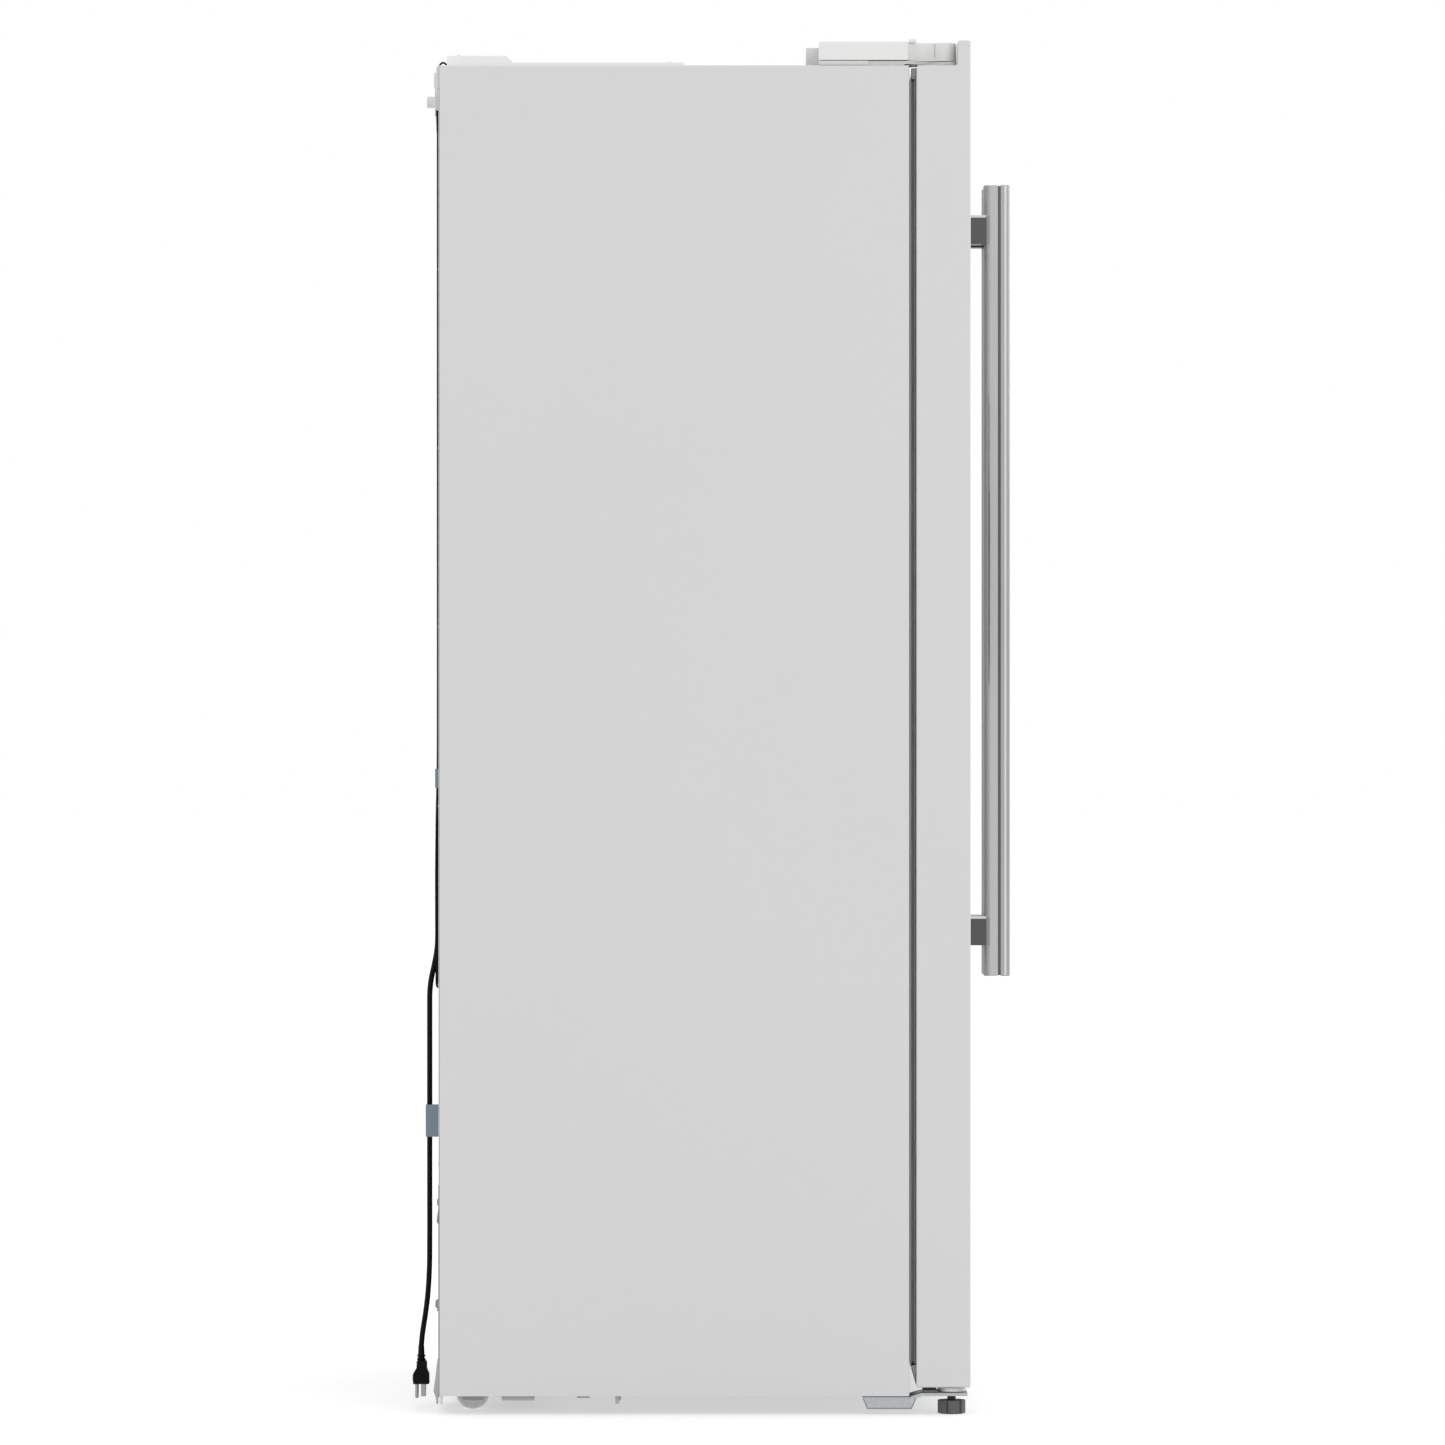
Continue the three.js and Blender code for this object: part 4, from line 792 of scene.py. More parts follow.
class FRIDGE_OT_cord(bpy.types.Operator):
    """Hangs the mains cord down the back, with its plug"""

    bl_idname = "fridge.cord"
    bl_label = "Mains cord"

    def execute(self, context):
        path = smooth_path([(CORD_X, BACK + out, up) for out, up in CORD_ROUTE], 6)
        cord = Part("mains_cord").tube(path, sizes().cord / 2, "cord", sizes().cord_sides).done(
            "cabinet", "cord_rubber", "power_cord"
        )
        plug = self.plug()
        relief = grown(
            "plug_relief_rings", "rings", (), "cabinet", "cord_rubber", Count=2,
            Start=(CORD_X, BACK + CORD_END, 0.0652), Step=(0, 0, -0.0046), Radius=0.0041,
            Thickness=0.0015, Growth=0.05, Finish=FINISHES["cord"],
        )
        exit_relief = Part("cord_exit_relief").tube(
            [Vector((CORD_X, BACK + 0.0051, 1.6890 - 0.0035 * k)) for k in range(9)],
            [0.0045, 0.0045] + [0.0044 - 0.0001 * k for k in range(7)], "cord", 20,
        ).done("cabinet", "cord_rubber")
        return {"FINISHED"}

    def plug(self):
        """A grounded plug: a waisted grip, two flat blades and a round pin."""
        middle = BACK + CORD_END
        part = Part("mains_plug")
        part.turned(
            ((0, 0.0790), (0.0037, 0.0790), (0.0042, 0.0700), (0.0045, 0.0600), (0.0060, 0.0572),
             (0.0066, 0.0555), (0, 0.0555)),
            (CORD_X, middle, 0), "cord",
        )
        outline = (
            (-0.0052, 0.0592), (-0.0070, 0.0574), (-0.0074, 0.0556), (-0.0072, 0.0496), (-0.0084, 0.0456),
            (-0.0103, 0.0418), (-0.0105, 0.0295), (-0.0098, 0.0286), (0.0098, 0.0286), (0.0105, 0.0295),
            (0.0103, 0.0422), (0.0078, 0.0462), (0.0060, 0.0500), (0.0056, 0.0558), (0.0052, 0.0576),
            (0.0040, 0.0592),
        )
        part.prism(
            [(middle + y, z) for y, z in outline], "X", (CORD_X - 0.012, CORD_X + 0.012), "cord",
            0.0022, 4, only_ends=True,
        )
        part.block(
            (CORD_X - 0.0085, middle + 0.0094, 0.032), (CORD_X + 0.0085, middle + 0.0110, 0.041), "cord",
        )
        for x in (-0.00635, 0.00635):
            part.block(
                (CORD_X + x - 0.0008, middle - 0.0062, 0.0125),
                (CORD_X + x + 0.0008, middle + 0.0001, 0.030), "blade", 0.0004,
            )
        part.turned(
            ((0, 0.0095), (0.0012, 0.0096), (0.0021, 0.0106), (0.0024, 0.0122), (0.0024, 0.030),
             (0, 0.030)),
            (CORD_X, middle + 0.0056, 0), "blade", steps=20,
        )
        return part.done("cabinet", "cord_rubber", "power_plug")


# ---- Cabinet -----------------------------------------------------------------------------------

RETURN = 0.016  # how far the skin's front edges are folded in


class FRIDGE_OT_cabinet(bpy.types.Operator):
    """Folds the cabinet's skin, and finishes the liners and the back"""

    bl_idname = "fridge.cabinet"
    bl_label = "Cabinet"

    def execute(self, context):
        self.skin()
        for node in ("freezer_liner", "fridge_liner"):
            Part(f"{node}_shell").copy(node, "liner", 0.0009).done("cabinet", "liner_plastic", node)
        Part("back_sheet").copy("back_panel", "zinc", 0.0004, 1).done(
            "cabinet", "zinc_steel", "back_panel"
        )
        low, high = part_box("back_panel")
        self.rims(low.z)
        rows = [low.z + 0.03 + k * (high.z - low.z - 0.06) / 6 for k in range(7)]
        screws(
            "back_screws", [(x, BACK, z) for x in (-HALF + 0.012, HALF - 0.012) for z in rows],
            (0, 1, 0),
        )
        return {"FINISHED"}

    def skin(self):
        """Sides and top in one bent sheet, with folded edges at the front and bottom."""
        skin, bend = sizes().skin, sizes().bend_radius
        part = Part("cabinet_skin")

        def arch(inset):
            points = [(-HALF + inset, BOTTOM)]
            for corner in (-1, 1):
                for k in range(7):
                    angle = math.pi / 2 * k / 6 if corner < 0 else math.pi / 2 * (1 - k / 6)
                    r = bend - inset
                    points.append((
                        corner * (HALF - bend) + corner * r * math.cos(angle),
                        TOP - bend + r * math.sin(angle),
                    ))
            return [*points, (HALF - inset, BOTTOM)]

        part.prism([*arch(0), *reversed(arch(skin))], "Y", (FRONT + skin / 2, BACK), "paint")
        for side in (-1, 1):
            x0, x1 = spread(side, 0, RETURN)
            part.block((x0, FRONT, BOTTOM + 0.0002), (x1, FRONT + skin, TOP - 0.0004), "paint", 0.0004)
            x0, x1 = spread(side, 0.0011, 0.0023)
            part.block(
                (x0, FRONT + 0.004, BOTTOM + 0.0004), (x1, BACK - 0.002, BOTTOM + 0.009), "paint", 0.0003
            )
        part.block((-HALF, FRONT, TOP - RETURN), (HALF, FRONT + skin, TOP - 0.0002), "paint", 0.0004)
        ear = [
            (BACK - 0.0048, BOTTOM + 0.004), (BACK - 0.0044, 0.0146), (BACK - 0.0010, 0.0134),
            (BACK, 0.0150), (BACK, BOTTOM + 0.018), (BACK - 0.0048, BOTTOM + 0.018),
        ]
        for side in (-1, 1):
            part.prism(ear, "X", spread(side, 0.0012, 0.0024), "paint", 0.0003, 2)
        part.done("cabinet", "white_paint", "cabinet_wrapper")

    def rims(self, sheet_low):
        """Edges, feet and fixings of the back, alike on both sides."""
        rims = Part("back_rims")
        face = BACK + 0.0001
        foot = [
            (face, 0.0730), (BACK + 0.0024, 0.0730), (BACK + 0.0062, 0.0420), (BACK + 0.0078, 0.0300),
            (BACK + 0.0048, 0.0220), (BACK + 0.0040, 0.0140), (BACK + 0.0016, 0.0140),
            (BACK + 0.0018, 0.0240), (face, 0.0300),
        ]
        rivet = (
            (0, 0.0001), (0.0079, 0.0001), (0.0076, 0.0010), (0.0048, 0.0050), (0.0042, 0.0056),
            (0.0018, 0.0056), (0.0015, 0.0030), (0, 0.0030),
        )
        screw = ((0, 0.0001), (0.0053, 0.0001), (0.0053, 0.0018), (0.0042, 0.0032), (0, 0.0036))
        tab = [
            (face, 0.2676), (BACK + 0.0016, 0.2660), (BACK + 0.0037, 0.2520), (BACK + 0.0039, 0.2494),
            (BACK + 0.0026, 0.2462), (face, 0.2456),
        ]
        for side in (-1, 1):
            x0, x1 = spread(side, 0.0015, 0.0155)
            rims.block(
                (x0, face, sheet_low + 0.002), (x1, BACK + 0.0014, TOP - 0.033), "rim_zinc", 0.0005, 3
            )
            x0, x1 = spread(side, 0.0015, 0.0065)
            rims.block(
                (x0, face, BOTTOM + 0.008), (x1, BACK + 0.0018, sheet_low + 0.003), "zinc", 0.0006, 3
            )
            rims.prism(foot, "X", spread(side, 0.0012, 0.0072), "zinc", 0.0005, 2)
            for profile, x, z in ((rivet, 0.4098, 0.1423), (screw, 0.4122, 0.2735)):
                rims.turned(
                    [(radius, BACK + out) for radius, out in profile], (side * x, 0, z), "zinc_edge",
                    "Y", 28,
                )
            rims.prism(tab, "X", spread(side, 0.0012, 0.0110), "zinc_edge", 0.0004, 2)
        rims.done("cabinet", "zinc_steel")


# ---- Doors -------------------------------------------------------------------------------------

DOOR_SHEET = 0.0011
OPENING_LAP = 0.0057  # how far the door's sheet laps over the dispenser's edge


class FRIDGE_OT_doors(bpy.types.Operator):
    """Folds the door skins and finishes their liners"""

    bl_idname = "fridge.doors"
    bl_label = "Doors"

    def execute(self, context):
        for side, _ in SIDES:
            self.skin(side)
            node = f"{side}_door_liner"
            Part(f"{side}_door_inner").copy(node, "liner", 0.0009, 2).done(
                f"{side}_door", "liner_plastic", node
            )
        return {"FINISHED"}

    def skin(self, side):
        """A folded sheet, open at the back, with a raised lip along the top of its front."""
        low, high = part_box(f"{side}_door_panel")
        lip = low.y + sizes().lip
        outline = [
            (high.y, low.z), (low.y, low.z), (low.y, high.z), (lip, high.z), (lip, TOP), (high.y, TOP),
        ]
        part = Part(f"{side}_door_skin")
        part.prism(outline, "X", (low.x, high.x), "paint", sizes().door_radius, 4)
        if side == "left":
            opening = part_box("dispenser_housing")
            lap = Vector((OPENING_LAP, 0, OPENING_LAP))
            self.pierce(part, opening[0] + lap, opening[1] - lap)
        back = [
            face for face in part.mesh.faces
            if face.normal.y > 0.95 and face.calc_center_median().y > high.y - 0.0004
        ]
        bmesh.ops.delete(part.mesh, geom=back, context="FACES")
        part.done(f"{side}_door", "white_paint", f"{side}_door_panel", wall=DOOR_SHEET)

    def pierce(self, part, low, high):
        """Cuts the dispenser's opening through the front."""
        blank = linked("blank", part.mesh)
        cutter = linked("cutter", Part("cutter").block(
            (low.x, DOOR_FRONT - 0.01, low.z), (high.x, DOOR_BACK + 0.01, high.z), "paint", 0.006, 3
        ).mesh)
        cut = blank.modifiers.new("cut", "BOOLEAN")
        cut.operation = "DIFFERENCE"
        cut.object = cutter
        cut.solver = "EXACT"
        settle(blank)
        part.mesh = bmesh.new()
        part.mesh.from_mesh(blank.data)
        for each in (blank, cutter):
            bpy.data.objects.remove(each)


# The seal's section: metres in from its outer edge, and the share of its depth from the door back.
SEAL = (
    (0.0012, 0), (0.0002, 0.06), (0.0, 0.16), (0.0006, 0.22), (0.0030, 0.27), (0.0032, 0.31),
    (0.0010, 0.38), (0.0004, 0.44), (0.0010, 0.50), (0.0034, 0.55), (0.0036, 0.60), (0.0008, 0.68),
    (0.0, 0.76), (0.0, 0.94), (0.0008, 1), (0.0134, 1), (0.0142, 0.9), (0.0142, 0.72), (0.0118, 0.6),
    (0.0118, 0.42), (0.0142, 0.3), (0.0148, 0.1), (0.0140, 0),
)


class FRIDGE_OT_gaskets(bpy.types.Operator):
    """Makes the ribbed door seals"""

    bl_idname = "fridge.gaskets"
    bl_label = "Door seals"

    def execute(self, context):
        for side, _ in SIDES:
            low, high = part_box(f"{side}_door_gasket")
            profile = [(inset, low.y + share * (high.y - low.y)) for inset, share in SEAL]
            Part(f"{side}_door_seal").ring(
                (low.x, low.z), (high.x, high.z), profile, "gasket"
            ).done(f"{side}_door", "gasket_rubber", f"{side}_door_gasket", sharp=60)
        return {"FINISHED"}


# ---- Handles -----------------------------------------------------------------------------------


class FRIDGE_OT_handles(bpy.types.Operator):
    """Makes the grooved handle bars and their posts"""

    bl_idname = "fridge.handles"
    bl_label = "Handles"

    def execute(self, context):
        for side, _ in SIDES:
            self.bar(side)
            for level in ("upper", "lower"):
                self.post(side, level)
        return {"FINISHED"}

    def bar(self, side):
        """A round-backed bar and a flat front strip, with a groove between them. The strip is a darker copy of the
        steel and the groove's core is near black, both painted shade; thin light strips along the sides are
        painted highlights.
        """
        node = f"{side}_handle_bar"
        low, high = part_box(node)
        middle, wide, deep = (low.x + high.x) / 2, (high.x - low.x) / 2, high.y - low.y
        # Where the round back turns flat, and the groove's two edges.
        flat, groove_back, groove_front = (high.y - share * deep for share in (0.27, 0.540, 0.650))
        rear = []
        for k in range(21):
            across, back = math.cos(math.pi * k / 20), math.sin(math.pi * k / 20)
            rear.append((
                middle + wide * math.copysign(abs(across) ** 0.7, across),
                flat + (high.y - flat) * back ** 0.8,
            ))
        rear += [(low.x, groove_back), (high.x, groove_back)]
        edge = low.y + 0.15 * deep
        left = [
            (0.0, groove_front), (0.0, edge), (0.0014, low.y + 0.0022), (0.0030, low.y + 0.0003),
            (0.007, low.y),
        ]
        front = [(low.x + x, y) for x, y in left] + [(high.x - x, y) for x, y in reversed(left)]
        part = Part(f"{side}_grip")
        part.prism(rear, "Z", (low.z, high.z), "steel", 0.0014, 3, only_ends=True)
        # The front strip is in the darker copy of the steel: painted shade.
        part.prism(front, "Z", (low.z, high.z), "steel_dim", 0.0012, 3, only_ends=True)
        # The groove's core is coloured near black: painted shade.
        core = 0.0016
        part.block(
            (low.x + core, groove_front - 0.002, low.z + 0.0012),
            (high.x - core, groove_back + 0.002, high.z - 0.0012), "groove", 0.0004,
        )
        # Thin strips along the bar's sides in the lighter steel copy: painted highlights.
        for x0, x1 in ((low.x - 0.0003, low.x + 0.0001), (high.x - 0.0001, high.x + 0.0003)):
            part.block(
                (x0, edge - 0.0004, low.z + 0.0016), (x1, edge + 0.0022, high.z - 0.0016),
                "steel_light", 0.0001, 1,
            )
        part.done(f"{side}_door", "handle_steel", node, sharp=50)

    def post(self, side, level):
        """A dark post with a light strip along its top that is a painted highlight, and a collar where it meets
        the bar.
        """
        node = f"{side}_handle_post_{level}"
        low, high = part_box(node)
        part = Part(f"{side}_grip_post_{level}").copy(node, "post", 0.0007)
        # The light strip along the post's top, in the white trim: a painted highlight.
        part.block(
            (low.x - 0.0006, low.y + 0.0040, high.z - 0.0026),
            (high.x + 0.0006, DOOR_FRONT - 0.0002, high.z + 0.0008), "trim", 0.0007,
        )
        part.block(
            (low.x - 0.0022, low.y + 0.0012, low.z), (high.x + 0.0022, low.y + 0.0056, high.z - 0.0004),
            "post_edge", 0.0004,
        )
        part.done(f"{side}_door", "post_steel", node)


# ---- Hinges, feet and wheels -------------------------------------------------------------------


class FRIDGE_OT_hinges(bpy.types.Operator):
    """Makes the hinge covers, brackets, bushes, feet and wheels"""

    bl_idname = "fridge.hinges"
    bl_label = "Hinges and feet"

    def execute(self, context):
        for side, sign in SIDES:
            hinge = HINGE[f"{side}_door"]
            self.cover(side, sign, hinge)
            for level, finish in (("top", "hinge_steel"), ("bottom", "bright_zinc")):
                node = f"hinge_bracket_{level}_{side}"
                bracket = Part(f"{side}_{level}_hinge").copy(node, finish, 0.0006)
                if level == "bottom":
                    low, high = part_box(node)
                    # A dark band along the arm, just under the door: painted shade.
                    bracket.block(
                        (low.x + 0.001, hinge.y + 0.0190, 0.0282),
                        (high.x - 0.001, FRONT - 0.018, 0.0316), "dark_zinc", 0.0008, 3,
                    )
                    self.rolled_rim(bracket, sign, BOTTOM - 0.0043, low.z)
                bracket.done("cabinet", "zinc_steel", node)
            ring = (
                (0.0058, 0.0288), (0.0179, 0.0288), (0.0183, 0.0292), (0.0183, 0.0330), (0.0179, 0.0338),
                (0.0170, 0.0342), (0.0058, 0.0342),
            )
            Part(f"{side}_hinge_bush").turned(ring, (hinge.x, hinge.y, 0), "trim", steps=48).done(
                "cabinet", "white_plastic"
            )
            screws(
                f"bottom_hinge_bolts_{side}",
                [(sign * (HALF - 0.03), FRONT + y, 0.0197) for y in (0.018, 0.046)], (0, 0, -1),
                scale=1.4,
            )
            self.foot(side)
            self.wheel(side)
        return {"FINISHED"}

    def cover(self, side, sign, hinge):
        """A hinge cover with its stud, and the seam between its neck and its round cap."""
        node = f"hinge_cover_{side}"
        cover = Part(f"{side}_hinge_cap").copy(node, "trim", sizes().trim_radius, 3)
        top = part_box(node)[1].z
        x = sign * (HALF - 0.018)
        cover.block(
            (x - 0.008, FRONT - 0.0092, top - 0.0006), (x + 0.008, FRONT + 0.0002, top + 0.0040),
            "trim", 0.0008, 3,
        )
        if side == "left":
            # The lower flange at the back of the long cover.
            cover.block(
                (-HALF + 0.0046, FRONT + 0.052, TOP + 0.0004),
                (-HALF + 0.0068, FRONT + 0.1165, TOP + 0.0062), "paint", 0.0005,
            )
        seam = hinge.y + 0.0215
        meets = touch(node, (sign * 0.6, seam, (TOP + top) / 2), (-sign, 0, 0))
        if meets:
            cover.block(
                (meets.x - 0.0006, seam - 0.00045, TOP + 0.0115),
                (meets.x + 0.0006, seam + 0.00045, top - 0.001), "seam", 0.0001, 1,
            )
        cover.done("cabinet", "white_plastic", node)
        screws(f"hinge_cap_screw_{side}", [(sign * (HALF - 0.045), FRONT + 0.07, top)], (0, 0, 1))

    def rolled_rim(self, bracket, sign, plate, low):
        """The rolled rim round a bottom bracket's flange, in darker zinc as painted shade along its edges, and a
        near-black strip over its plate that paints the shadow in the gap under the cabinet.
        """
        outer, inner = sign * (HALF - 0.0028), sign * (HALF - 0.0040)
        # The rim is in the darker copy of the zinc: painted shade along the flange's edges.
        rim = [
            (FRONT + 0.0602, plate + 0.0012), (FRONT + 0.0542, low - 0.0002),
            (FRONT - 0.0032, low - 0.0002), (FRONT - 0.0092, plate + 0.0012),
            (FRONT - 0.0076, plate + 0.0012), (FRONT - 0.0024, low + 0.0014),
            (FRONT + 0.0534, low + 0.0014), (FRONT + 0.0586, plate + 0.0012),
        ]
        bracket.prism(rim, "X", (outer, inner), "zinc_edge", 0.0003, 2)
        # A near-black strip just under the cabinet's bottom edge: a painted shadow of the gap over the plate.
        joint = [
            (FRONT + 0.0602, BOTTOM - 0.0014), (FRONT + 0.0602, BOTTOM - 0.0001),
            (FRONT - 0.0015, BOTTOM - 0.0001), (FRONT - 0.0030, BOTTOM - 0.0014),
        ]
        bracket.prism(joint, "X", (outer, sign * (HALF - 0.0060)), "coil", 0.0002, 1)

    def foot(self, side):
        """A knob with six flat lobes on its screw."""
        node = f"leveling_foot_{side}"
        low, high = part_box(node)
        middle = (low + high) / 2
        centre = (middle.x, middle.y, 0)
        reach, inner, top = (high.x - low.x) / 2, 0.0152, 0.0176
        # One lobe: parts of a sixth of a turn, and how far out.
        lobe = (
            (-0.40, reach), (-0.13, reach * 0.985), (0.16, reach * 0.985), (0.40, reach), (0.47, inner),
            (0.53, inner),
        )
        outline = []
        for k in range(6):
            for turn, out in lobe:
                angle = (k + turn + 0.15) * math.pi / 3
                outline.append((middle.x + out * math.cos(angle), middle.y + out * math.sin(angle)))
        part = Part(f"{side}_foot_knob").prism(outline, "Z", (0.0008, top), "dark", 0.0006, 2)
        sole = (
            (0, 0.0), (reach - 0.003, 0.0), (reach - 0.0018, 0.0006), (reach - 0.0018, 0.0012), (0, 0.0012),
        )
        part.turned(sole, centre, "dark", steps=36)
        stem = ((0, top - 0.001), (0.0055, top - 0.001), (0.0055, high.z), (0, high.z))
        part.turned(stem, centre, "black_matte", steps=24)
        part.done(f"{side}_foot", "grey_plastic", node)

    def wheel(self, side):
        """A nylon wheel with a rim, a sunk web and a hub."""
        node = f"rear_roller_{side}"
        low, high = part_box(node)
        middle = (low + high) / 2
        r, x0, x1 = (high.y - low.y) / 2, low.x, high.x
        bore = 0.0046
        # One face from the hub to the tread: radius, and how far in from the end.
        face = (
            (bore, 0.0004), (0.0078, 0.0004), (0.0086, 0.0012), (0.0088, 0.0020), (0.0150, 0.0020),
            (0.0162, 0.0012), (r - 0.0016, 0.0006), (r - 0.0003, 0.0016), (r, 0.0036),
        )
        profile = [(out, x0 + inset) for out, inset in face]
        profile += [(out, x1 - inset) for out, inset in reversed(face)]
        part = Part(f"{side}_wheel").turned(profile, (0, middle.y, middle.z), "wheel", "X", 48)
        stud = ((0, 0.0012), (0.0011, 0.0012), (0.0011, 0.0040), (0, 0.0040))
        for k in range(8):
            y, z = 0.012 * math.cos(k * math.pi / 4), 0.012 * math.sin(k * math.pi / 4)
            for x, inward in ((x0, 1), (x1, -1)):
                part.turned(
                    [(out, along * inward) for out, along in stud], (x, middle.y + y, middle.z + z),
                    "wheel", "X", 10,
                )
        part.done(f"{side}_roller", "grey_plastic", node)


# ---- Dispenser ---------------------------------------------------------------------------------


class FRIDGE_OT_dispenser(bpy.types.Operator):
    """Makes the ice and water dispenser"""

    bl_idname = "fridge.dispenser"
    bl_label = "Dispenser"

    def execute(self, context):
        self.surround()
        Part("dispenser_lever").copy("dispenser_paddle", "dark", 0.0009).done(
            "paddle", "grey_plastic", "dispenser_paddle"
        )
        Part("dispenser_tray").copy("dispenser_drip_tray", "black_matte", 0.0006).done(
            "drip_tray", "grey_plastic", "dispenser_drip_tray"
        )
        low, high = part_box("dispenser_drip_tray")
        count = 12
        step = (high.y - low.y - 0.022) / (count - 1)
        grown(
            "dispenser_grille", "slats", (), "drip_tray", "grey_plastic", Count=count,
            Start=((low.x + high.x) / 2, low.y + 0.011, high.z + 0.0004), Step=(0, step, 0),
            Size=(high.x - low.x - 0.012, 0.0022, 0.0016), Finish=FINISHES["steel"],
        )
        return {"FINISHED"}

    def surround(self):
        """The recess in its steel frame, with a touch panel of lit rings and bars."""
        low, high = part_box("dispenser_housing")
        middle = (low.x + high.x) / 2
        part = Part("dispenser_surround").copy("dispenser_housing", "black", 0.0009)
        edge = [(inset, low.y + y) for inset, y in (
            (0.0, 0.0016), (-0.0016, 0.0012), (-0.0016, -0.0004), (0.0, -0.0012), (0.0024, -0.0012),
            (0.0032, -0.0004), (0.0032, 0.0012),
        )]
        part.ring((low.x, low.z), (high.x, high.z), edge, "steel")
        part.block(
            (low.x + 0.010, low.y - 0.0009, high.z - 0.112),
            (high.x - 0.010, low.y + 0.001, high.z - 0.012), "black",
        )
        back, face = low.y - 0.0008, low.y - 0.0013
        mark = ((0.0046, back), (0.0046, face), (0.0056, face), (0.0056, back))
        for k in range(5):
            part.turned(mark, (middle + (k - 2) * 0.030, 0, high.z - 0.082), "icon", "Y", 28)
        foot = high.z - 0.048
        for k in range(7):
            part.block(
                (middle + (k - 3.5) * 0.0062, low.y - 0.0012, foot),
                (middle + (k - 2.9) * 0.0062, low.y - 0.0006, foot + 0.004 + 0.0012 * k), "icon", 0.0003,
            )
        part.done("left_door", "black_plastic", "dispenser_housing")


# ---- Inside ------------------------------------------------------------------------------------

LAMP_DROP = 0.0605  # the lamps' tops below the foam's top, 0.2 mm into the liners' ceilings


class FRIDGE_OT_inside(bpy.types.Operator):
    """Finishes shelves, drawers, bins and the freezer's works"""

    bl_idname = "fridge.inside"
    bl_label = "Inside"

    def execute(self, context):
        for node in (
            "fridge_shelf_upper", "fridge_shelf_lower", "crisper_cover", "freezer_shelf_upper",
            "freezer_shelf_lower",
        ):
            self.shelf_trim(node)
        for node, body in (
            ("freezer_drawer_upper", "upper_freezer_drawer"),
            ("freezer_drawer_lower", "lower_freezer_drawer"), ("crisper_drawer", "crisper"),
        ):
            low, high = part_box(node)
            x0, x1, y = low.x + 0.0004, high.x - 0.0004, low.y + 0.0004
            part = Part(f"{node}_tub").copy(node, "clear", 0.0011)
            part.block((x0, low.y - 0.0022, low.z + 0.004), (x1, y, high.z - 0.036), "frost", 0.0009, 3)
            part.block((x0, low.y - 0.0030, high.z - 0.0352), (x1, y, high.z - 0.0235), "trim", 0.0011, 3)
            part.done(body, "clear_plastic", node)
        for side, _ in SIDES:
            for level in ("upper", "lower"):
                node = f"{side}_door_bin_{level}"
                low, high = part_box(node)
                part = Part(f"{node}_tub").copy(node, "clear", 0.0011)
                part.block(
                    (low.x + 0.006, high.y - 0.0004, low.z + 0.012),
                    (high.x - 0.006, high.y + 0.0018, low.z + 0.044), "trim", 0.0008,
                )
                part.done(f"{side}_door", "clear_plastic", node)
        for node in ("freezer_back_cover", "ice_maker", "fridge_air_duct"):
            Part(f"{node}_moulding").copy(node, "trim", 0.0009).done("cabinet", "white_plastic", node)
        for room in ("fridge", "freezer"):
            self.lamp(room)
        return {"FINISHED"}

    def shelf_trim(self, node):
        """A moulded nose along a shelf's front, and a bar along its back."""
        low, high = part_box(node)
        x0, x1 = low.x + 0.001, high.x - 0.001
        nose = [
            (low.y - 0.0045, low.z - 0.004), (low.y - 0.0055, low.z + 0.001),
            (low.y - 0.0045, high.z + 0.0026), (low.y + 0.002, high.z + 0.0032),
            (low.y + 0.012, high.z + 0.0008), (low.y + 0.012, low.z - 0.0008),
            (low.y + 0.002, low.z - 0.0055),
        ]
        part = Part(f"{node}_trim").prism(nose, "X", (x0, x1), "trim", 0.0007, 2, only_ends=True)
        part.block(
            (x0, high.y - 0.008, low.z - 0.001), (x1, high.y + 0.001, high.z + 0.010), "trim", 0.0012, 3
        )
        part.done("cabinet", "white_plastic")

    def lamp(self, room):
        """A lens in a rim at the front of a room's ceiling, midway across its shelf."""
        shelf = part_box(f"{room}_shelf_upper")
        middle = (shelf[0].x + shelf[1].x) / 2
        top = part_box("cabinet_insulation")[1].z - LAMP_DROP
        front, back = FRONT + 0.035, FRONT + 0.075
        part = Part(f"{room}_liner_lamp")
        for half, lap, depth, finish, radius in (
            (0.07, 0, 0.006, "lamp", 0.0025), (0.076, 0.006, 0.0026, "trim", 0.0009),
        ):
            part.block(
                (middle - half, front - lap, top - depth), (middle + half, back + lap, top),
                finish, radius, 3,
            )
        part.done("cabinet", "liner_plastic")


# ---- Back and base -----------------------------------------------------------------------------

# Tabs under the sides: front, back, lowest edge, slant of the ends.
BASE_TABS = (
    (0.2400, 0.2840, 0.0180, 0.0016), (0.1720, 0.1870, 0.0212, 0.0010), (0.1313, 0.1370, 0.0138, 0.0006),
)


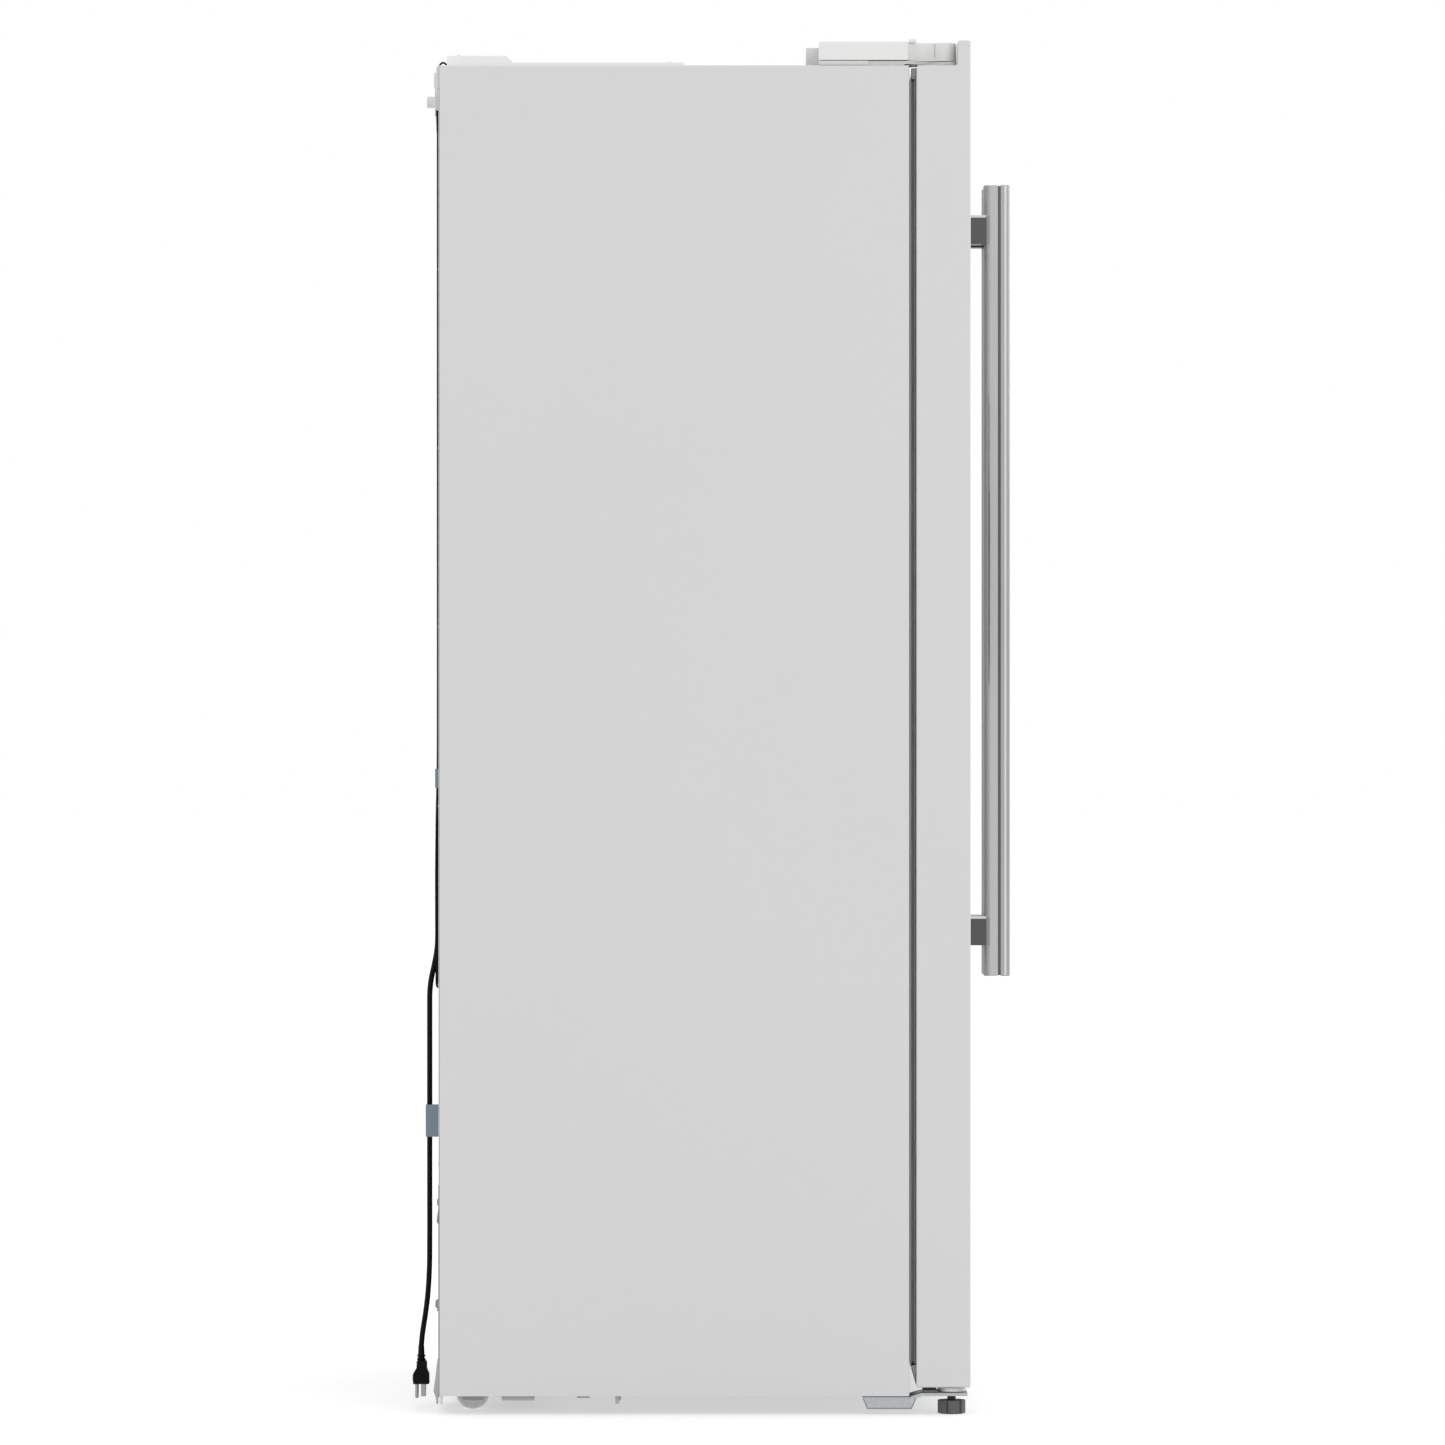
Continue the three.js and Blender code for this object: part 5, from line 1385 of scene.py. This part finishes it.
class FRIDGE_OT_services(bpy.types.Operator):
    """Finishes the covers, clips and fittings on the top and back"""

    bl_idname = "fridge.services"
    bl_label = "Back and base"

    def execute(self, context):
        self.control_cover()
        inlet = Part("rear_inlet").copy("water_inlet", "trim", 0.0007)
        bend = smooth_path([(-0.400, BACK + out, TOP + up) for out, up in (
            (-0.0085, 0.0016), (-0.0058, 0.0040), (-0.0030, 0.0044), (-0.0002, 0.0018), (0.0014, -0.0024),
        )], 5)
        inlet.tube(bend, 0.0013, "cord", 12).done("cabinet", "white_plastic", "water_inlet")
        for level in ("upper", "lower"):
            node = f"cord_clip_{level}"
            Part(f"{level}_cord_clip").copy(node, "clip", 0.0006).done("cabinet", "clip_plastic", node)
        self.cord_guide()
        rail = Part("base_tabs")
        for side in (-1, 1):
            for y0, y1, down, slant in BASE_TABS:
                tab = [(y0, 0.0250), (y0 + slant, down), (y1 - slant, down), (y1, 0.0250)]
                # The tabs are in the darker copy of the nylon: painted shade.
                rail.prism(tab, "X", spread(side, 0.0055, 0.0145), "tab", 0.0005, 2)
        rail.done("cabinet", "zinc_steel")
        Part("compressor_cover").copy("machine_cover", "zinc", 0.0004).done(
            "cabinet", "zinc_steel", "machine_cover"
        )
        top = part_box("machine_cover")[1].z
        screws(
            "compressor_cover_screws",
            [(x, BACK, z) for z in (0.052, top - 0.012) for x in (-0.395, -0.13, 0.13, 0.395)],
            (0, 1, 0),
        )
        return {"FINISHED"}

    def control_cover(self):
        """The low cover at the rear of the top, with its screws and vents."""
        node = "control_box_cover"
        low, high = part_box(node)
        Part("control_cover").copy(node, "cover_white", sizes().trim_radius, 3).done(
            "cabinet", "white_plastic", node
        )
        screws(
            "control_cover_screws",
            [(x, y, z) for y, z in ((BACK - 0.02, high.z), (low.y + 0.02, TOP + 0.014))
             for x in (low.x + 0.02, high.x - 0.02)], (0, 0, 1),
        )
        grown(
            "control_cover_vents", "slats", (), "cabinet", "white_plastic", Count=14,
            Start=(low.x + 0.12, BACK - 0.044, high.z + 0.0002), Step=(0.013, 0, 0),
            Size=(0.004, 0.05, 0.0016), Finish=FINISHES["trim"],
        )

    def cord_guide(self):
        """A channel that holds the cord against the back: a strip with a wall on each side."""
        guide = Part("cord_guide").block(
            (CORD_X - 0.009, BACK + 0.0003, 0.5440), (CORD_X + 0.009, BACK + 0.0016, 0.803), "cord", 0.0005
        )
        wall = [(BACK + out, z) for out, z in (
            (0.0010, 0.5450), (0.0072, 0.5450), (0.0092, 0.5470), (0.0100, 0.5510), (0.0102, 0.6100),
            (0.0098, 0.7600), (0.0074, 0.8000), (0.0010, 0.8010),
        )]
        for x in (CORD_X - 0.0064, CORD_X + 0.0064):
            guide.prism(wall, "X", (x - 0.0009, x + 0.0009), "cord", 0.0004, 2)
        guide.done("cabinet", "cord_rubber")


# ---- Panel and running -------------------------------------------------------------------------

OPERATORS = (
    FRIDGE_OT_stage, FRIDGE_OT_cord, FRIDGE_OT_cabinet, FRIDGE_OT_doors, FRIDGE_OT_gaskets,
    FRIDGE_OT_handles, FRIDGE_OT_hinges, FRIDGE_OT_dispenser, FRIDGE_OT_inside, FRIDGE_OT_services,
)


class FRIDGE_PT_panel(bpy.types.Panel):
    """Lists the settings and the steps"""

    bl_label = "Refrigerator"
    bl_idname = "FRIDGE_PT_panel"
    bl_space_type = "VIEW_3D"
    bl_region_type = "UI"
    bl_category = "Refrigerator"

    def draw(self, context):
        for setting, _ in SETTINGS:
            group = getattr(context.scene, setting)
            box = self.layout.box()
            for name in group.__annotations__:
                box.prop(group, name)
        for each in OPERATORS:
            self.layout.operator(each.bl_idname)


SETTINGS = (
    ("fridge_stage", StageSettings), ("fridge_colours", ColourSettings), ("fridge_sizes", SizeSettings),
)


def register():
    for name, group in SETTINGS:
        bpy.utils.register_class(group)
        setattr(bpy.types.Scene, name, PointerProperty(type=group))
    for each in (*OPERATORS, FRIDGE_PT_panel):
        bpy.utils.register_class(each)


def unregister():
    for each in (FRIDGE_PT_panel, *reversed(OPERATORS)):
        bpy.utils.unregister_class(each)
    for name, group in reversed(SETTINGS):
        delattr(bpy.types.Scene, name)
        bpy.utils.unregister_class(group)


def main():
    register()
    make_finishes()
    finish_frame()
    for each in OPERATORS:
        group, name = each.bl_idname.split(".")
        getattr(getattr(bpy.ops, group), name)()


if __name__ == "__main__":
    main()
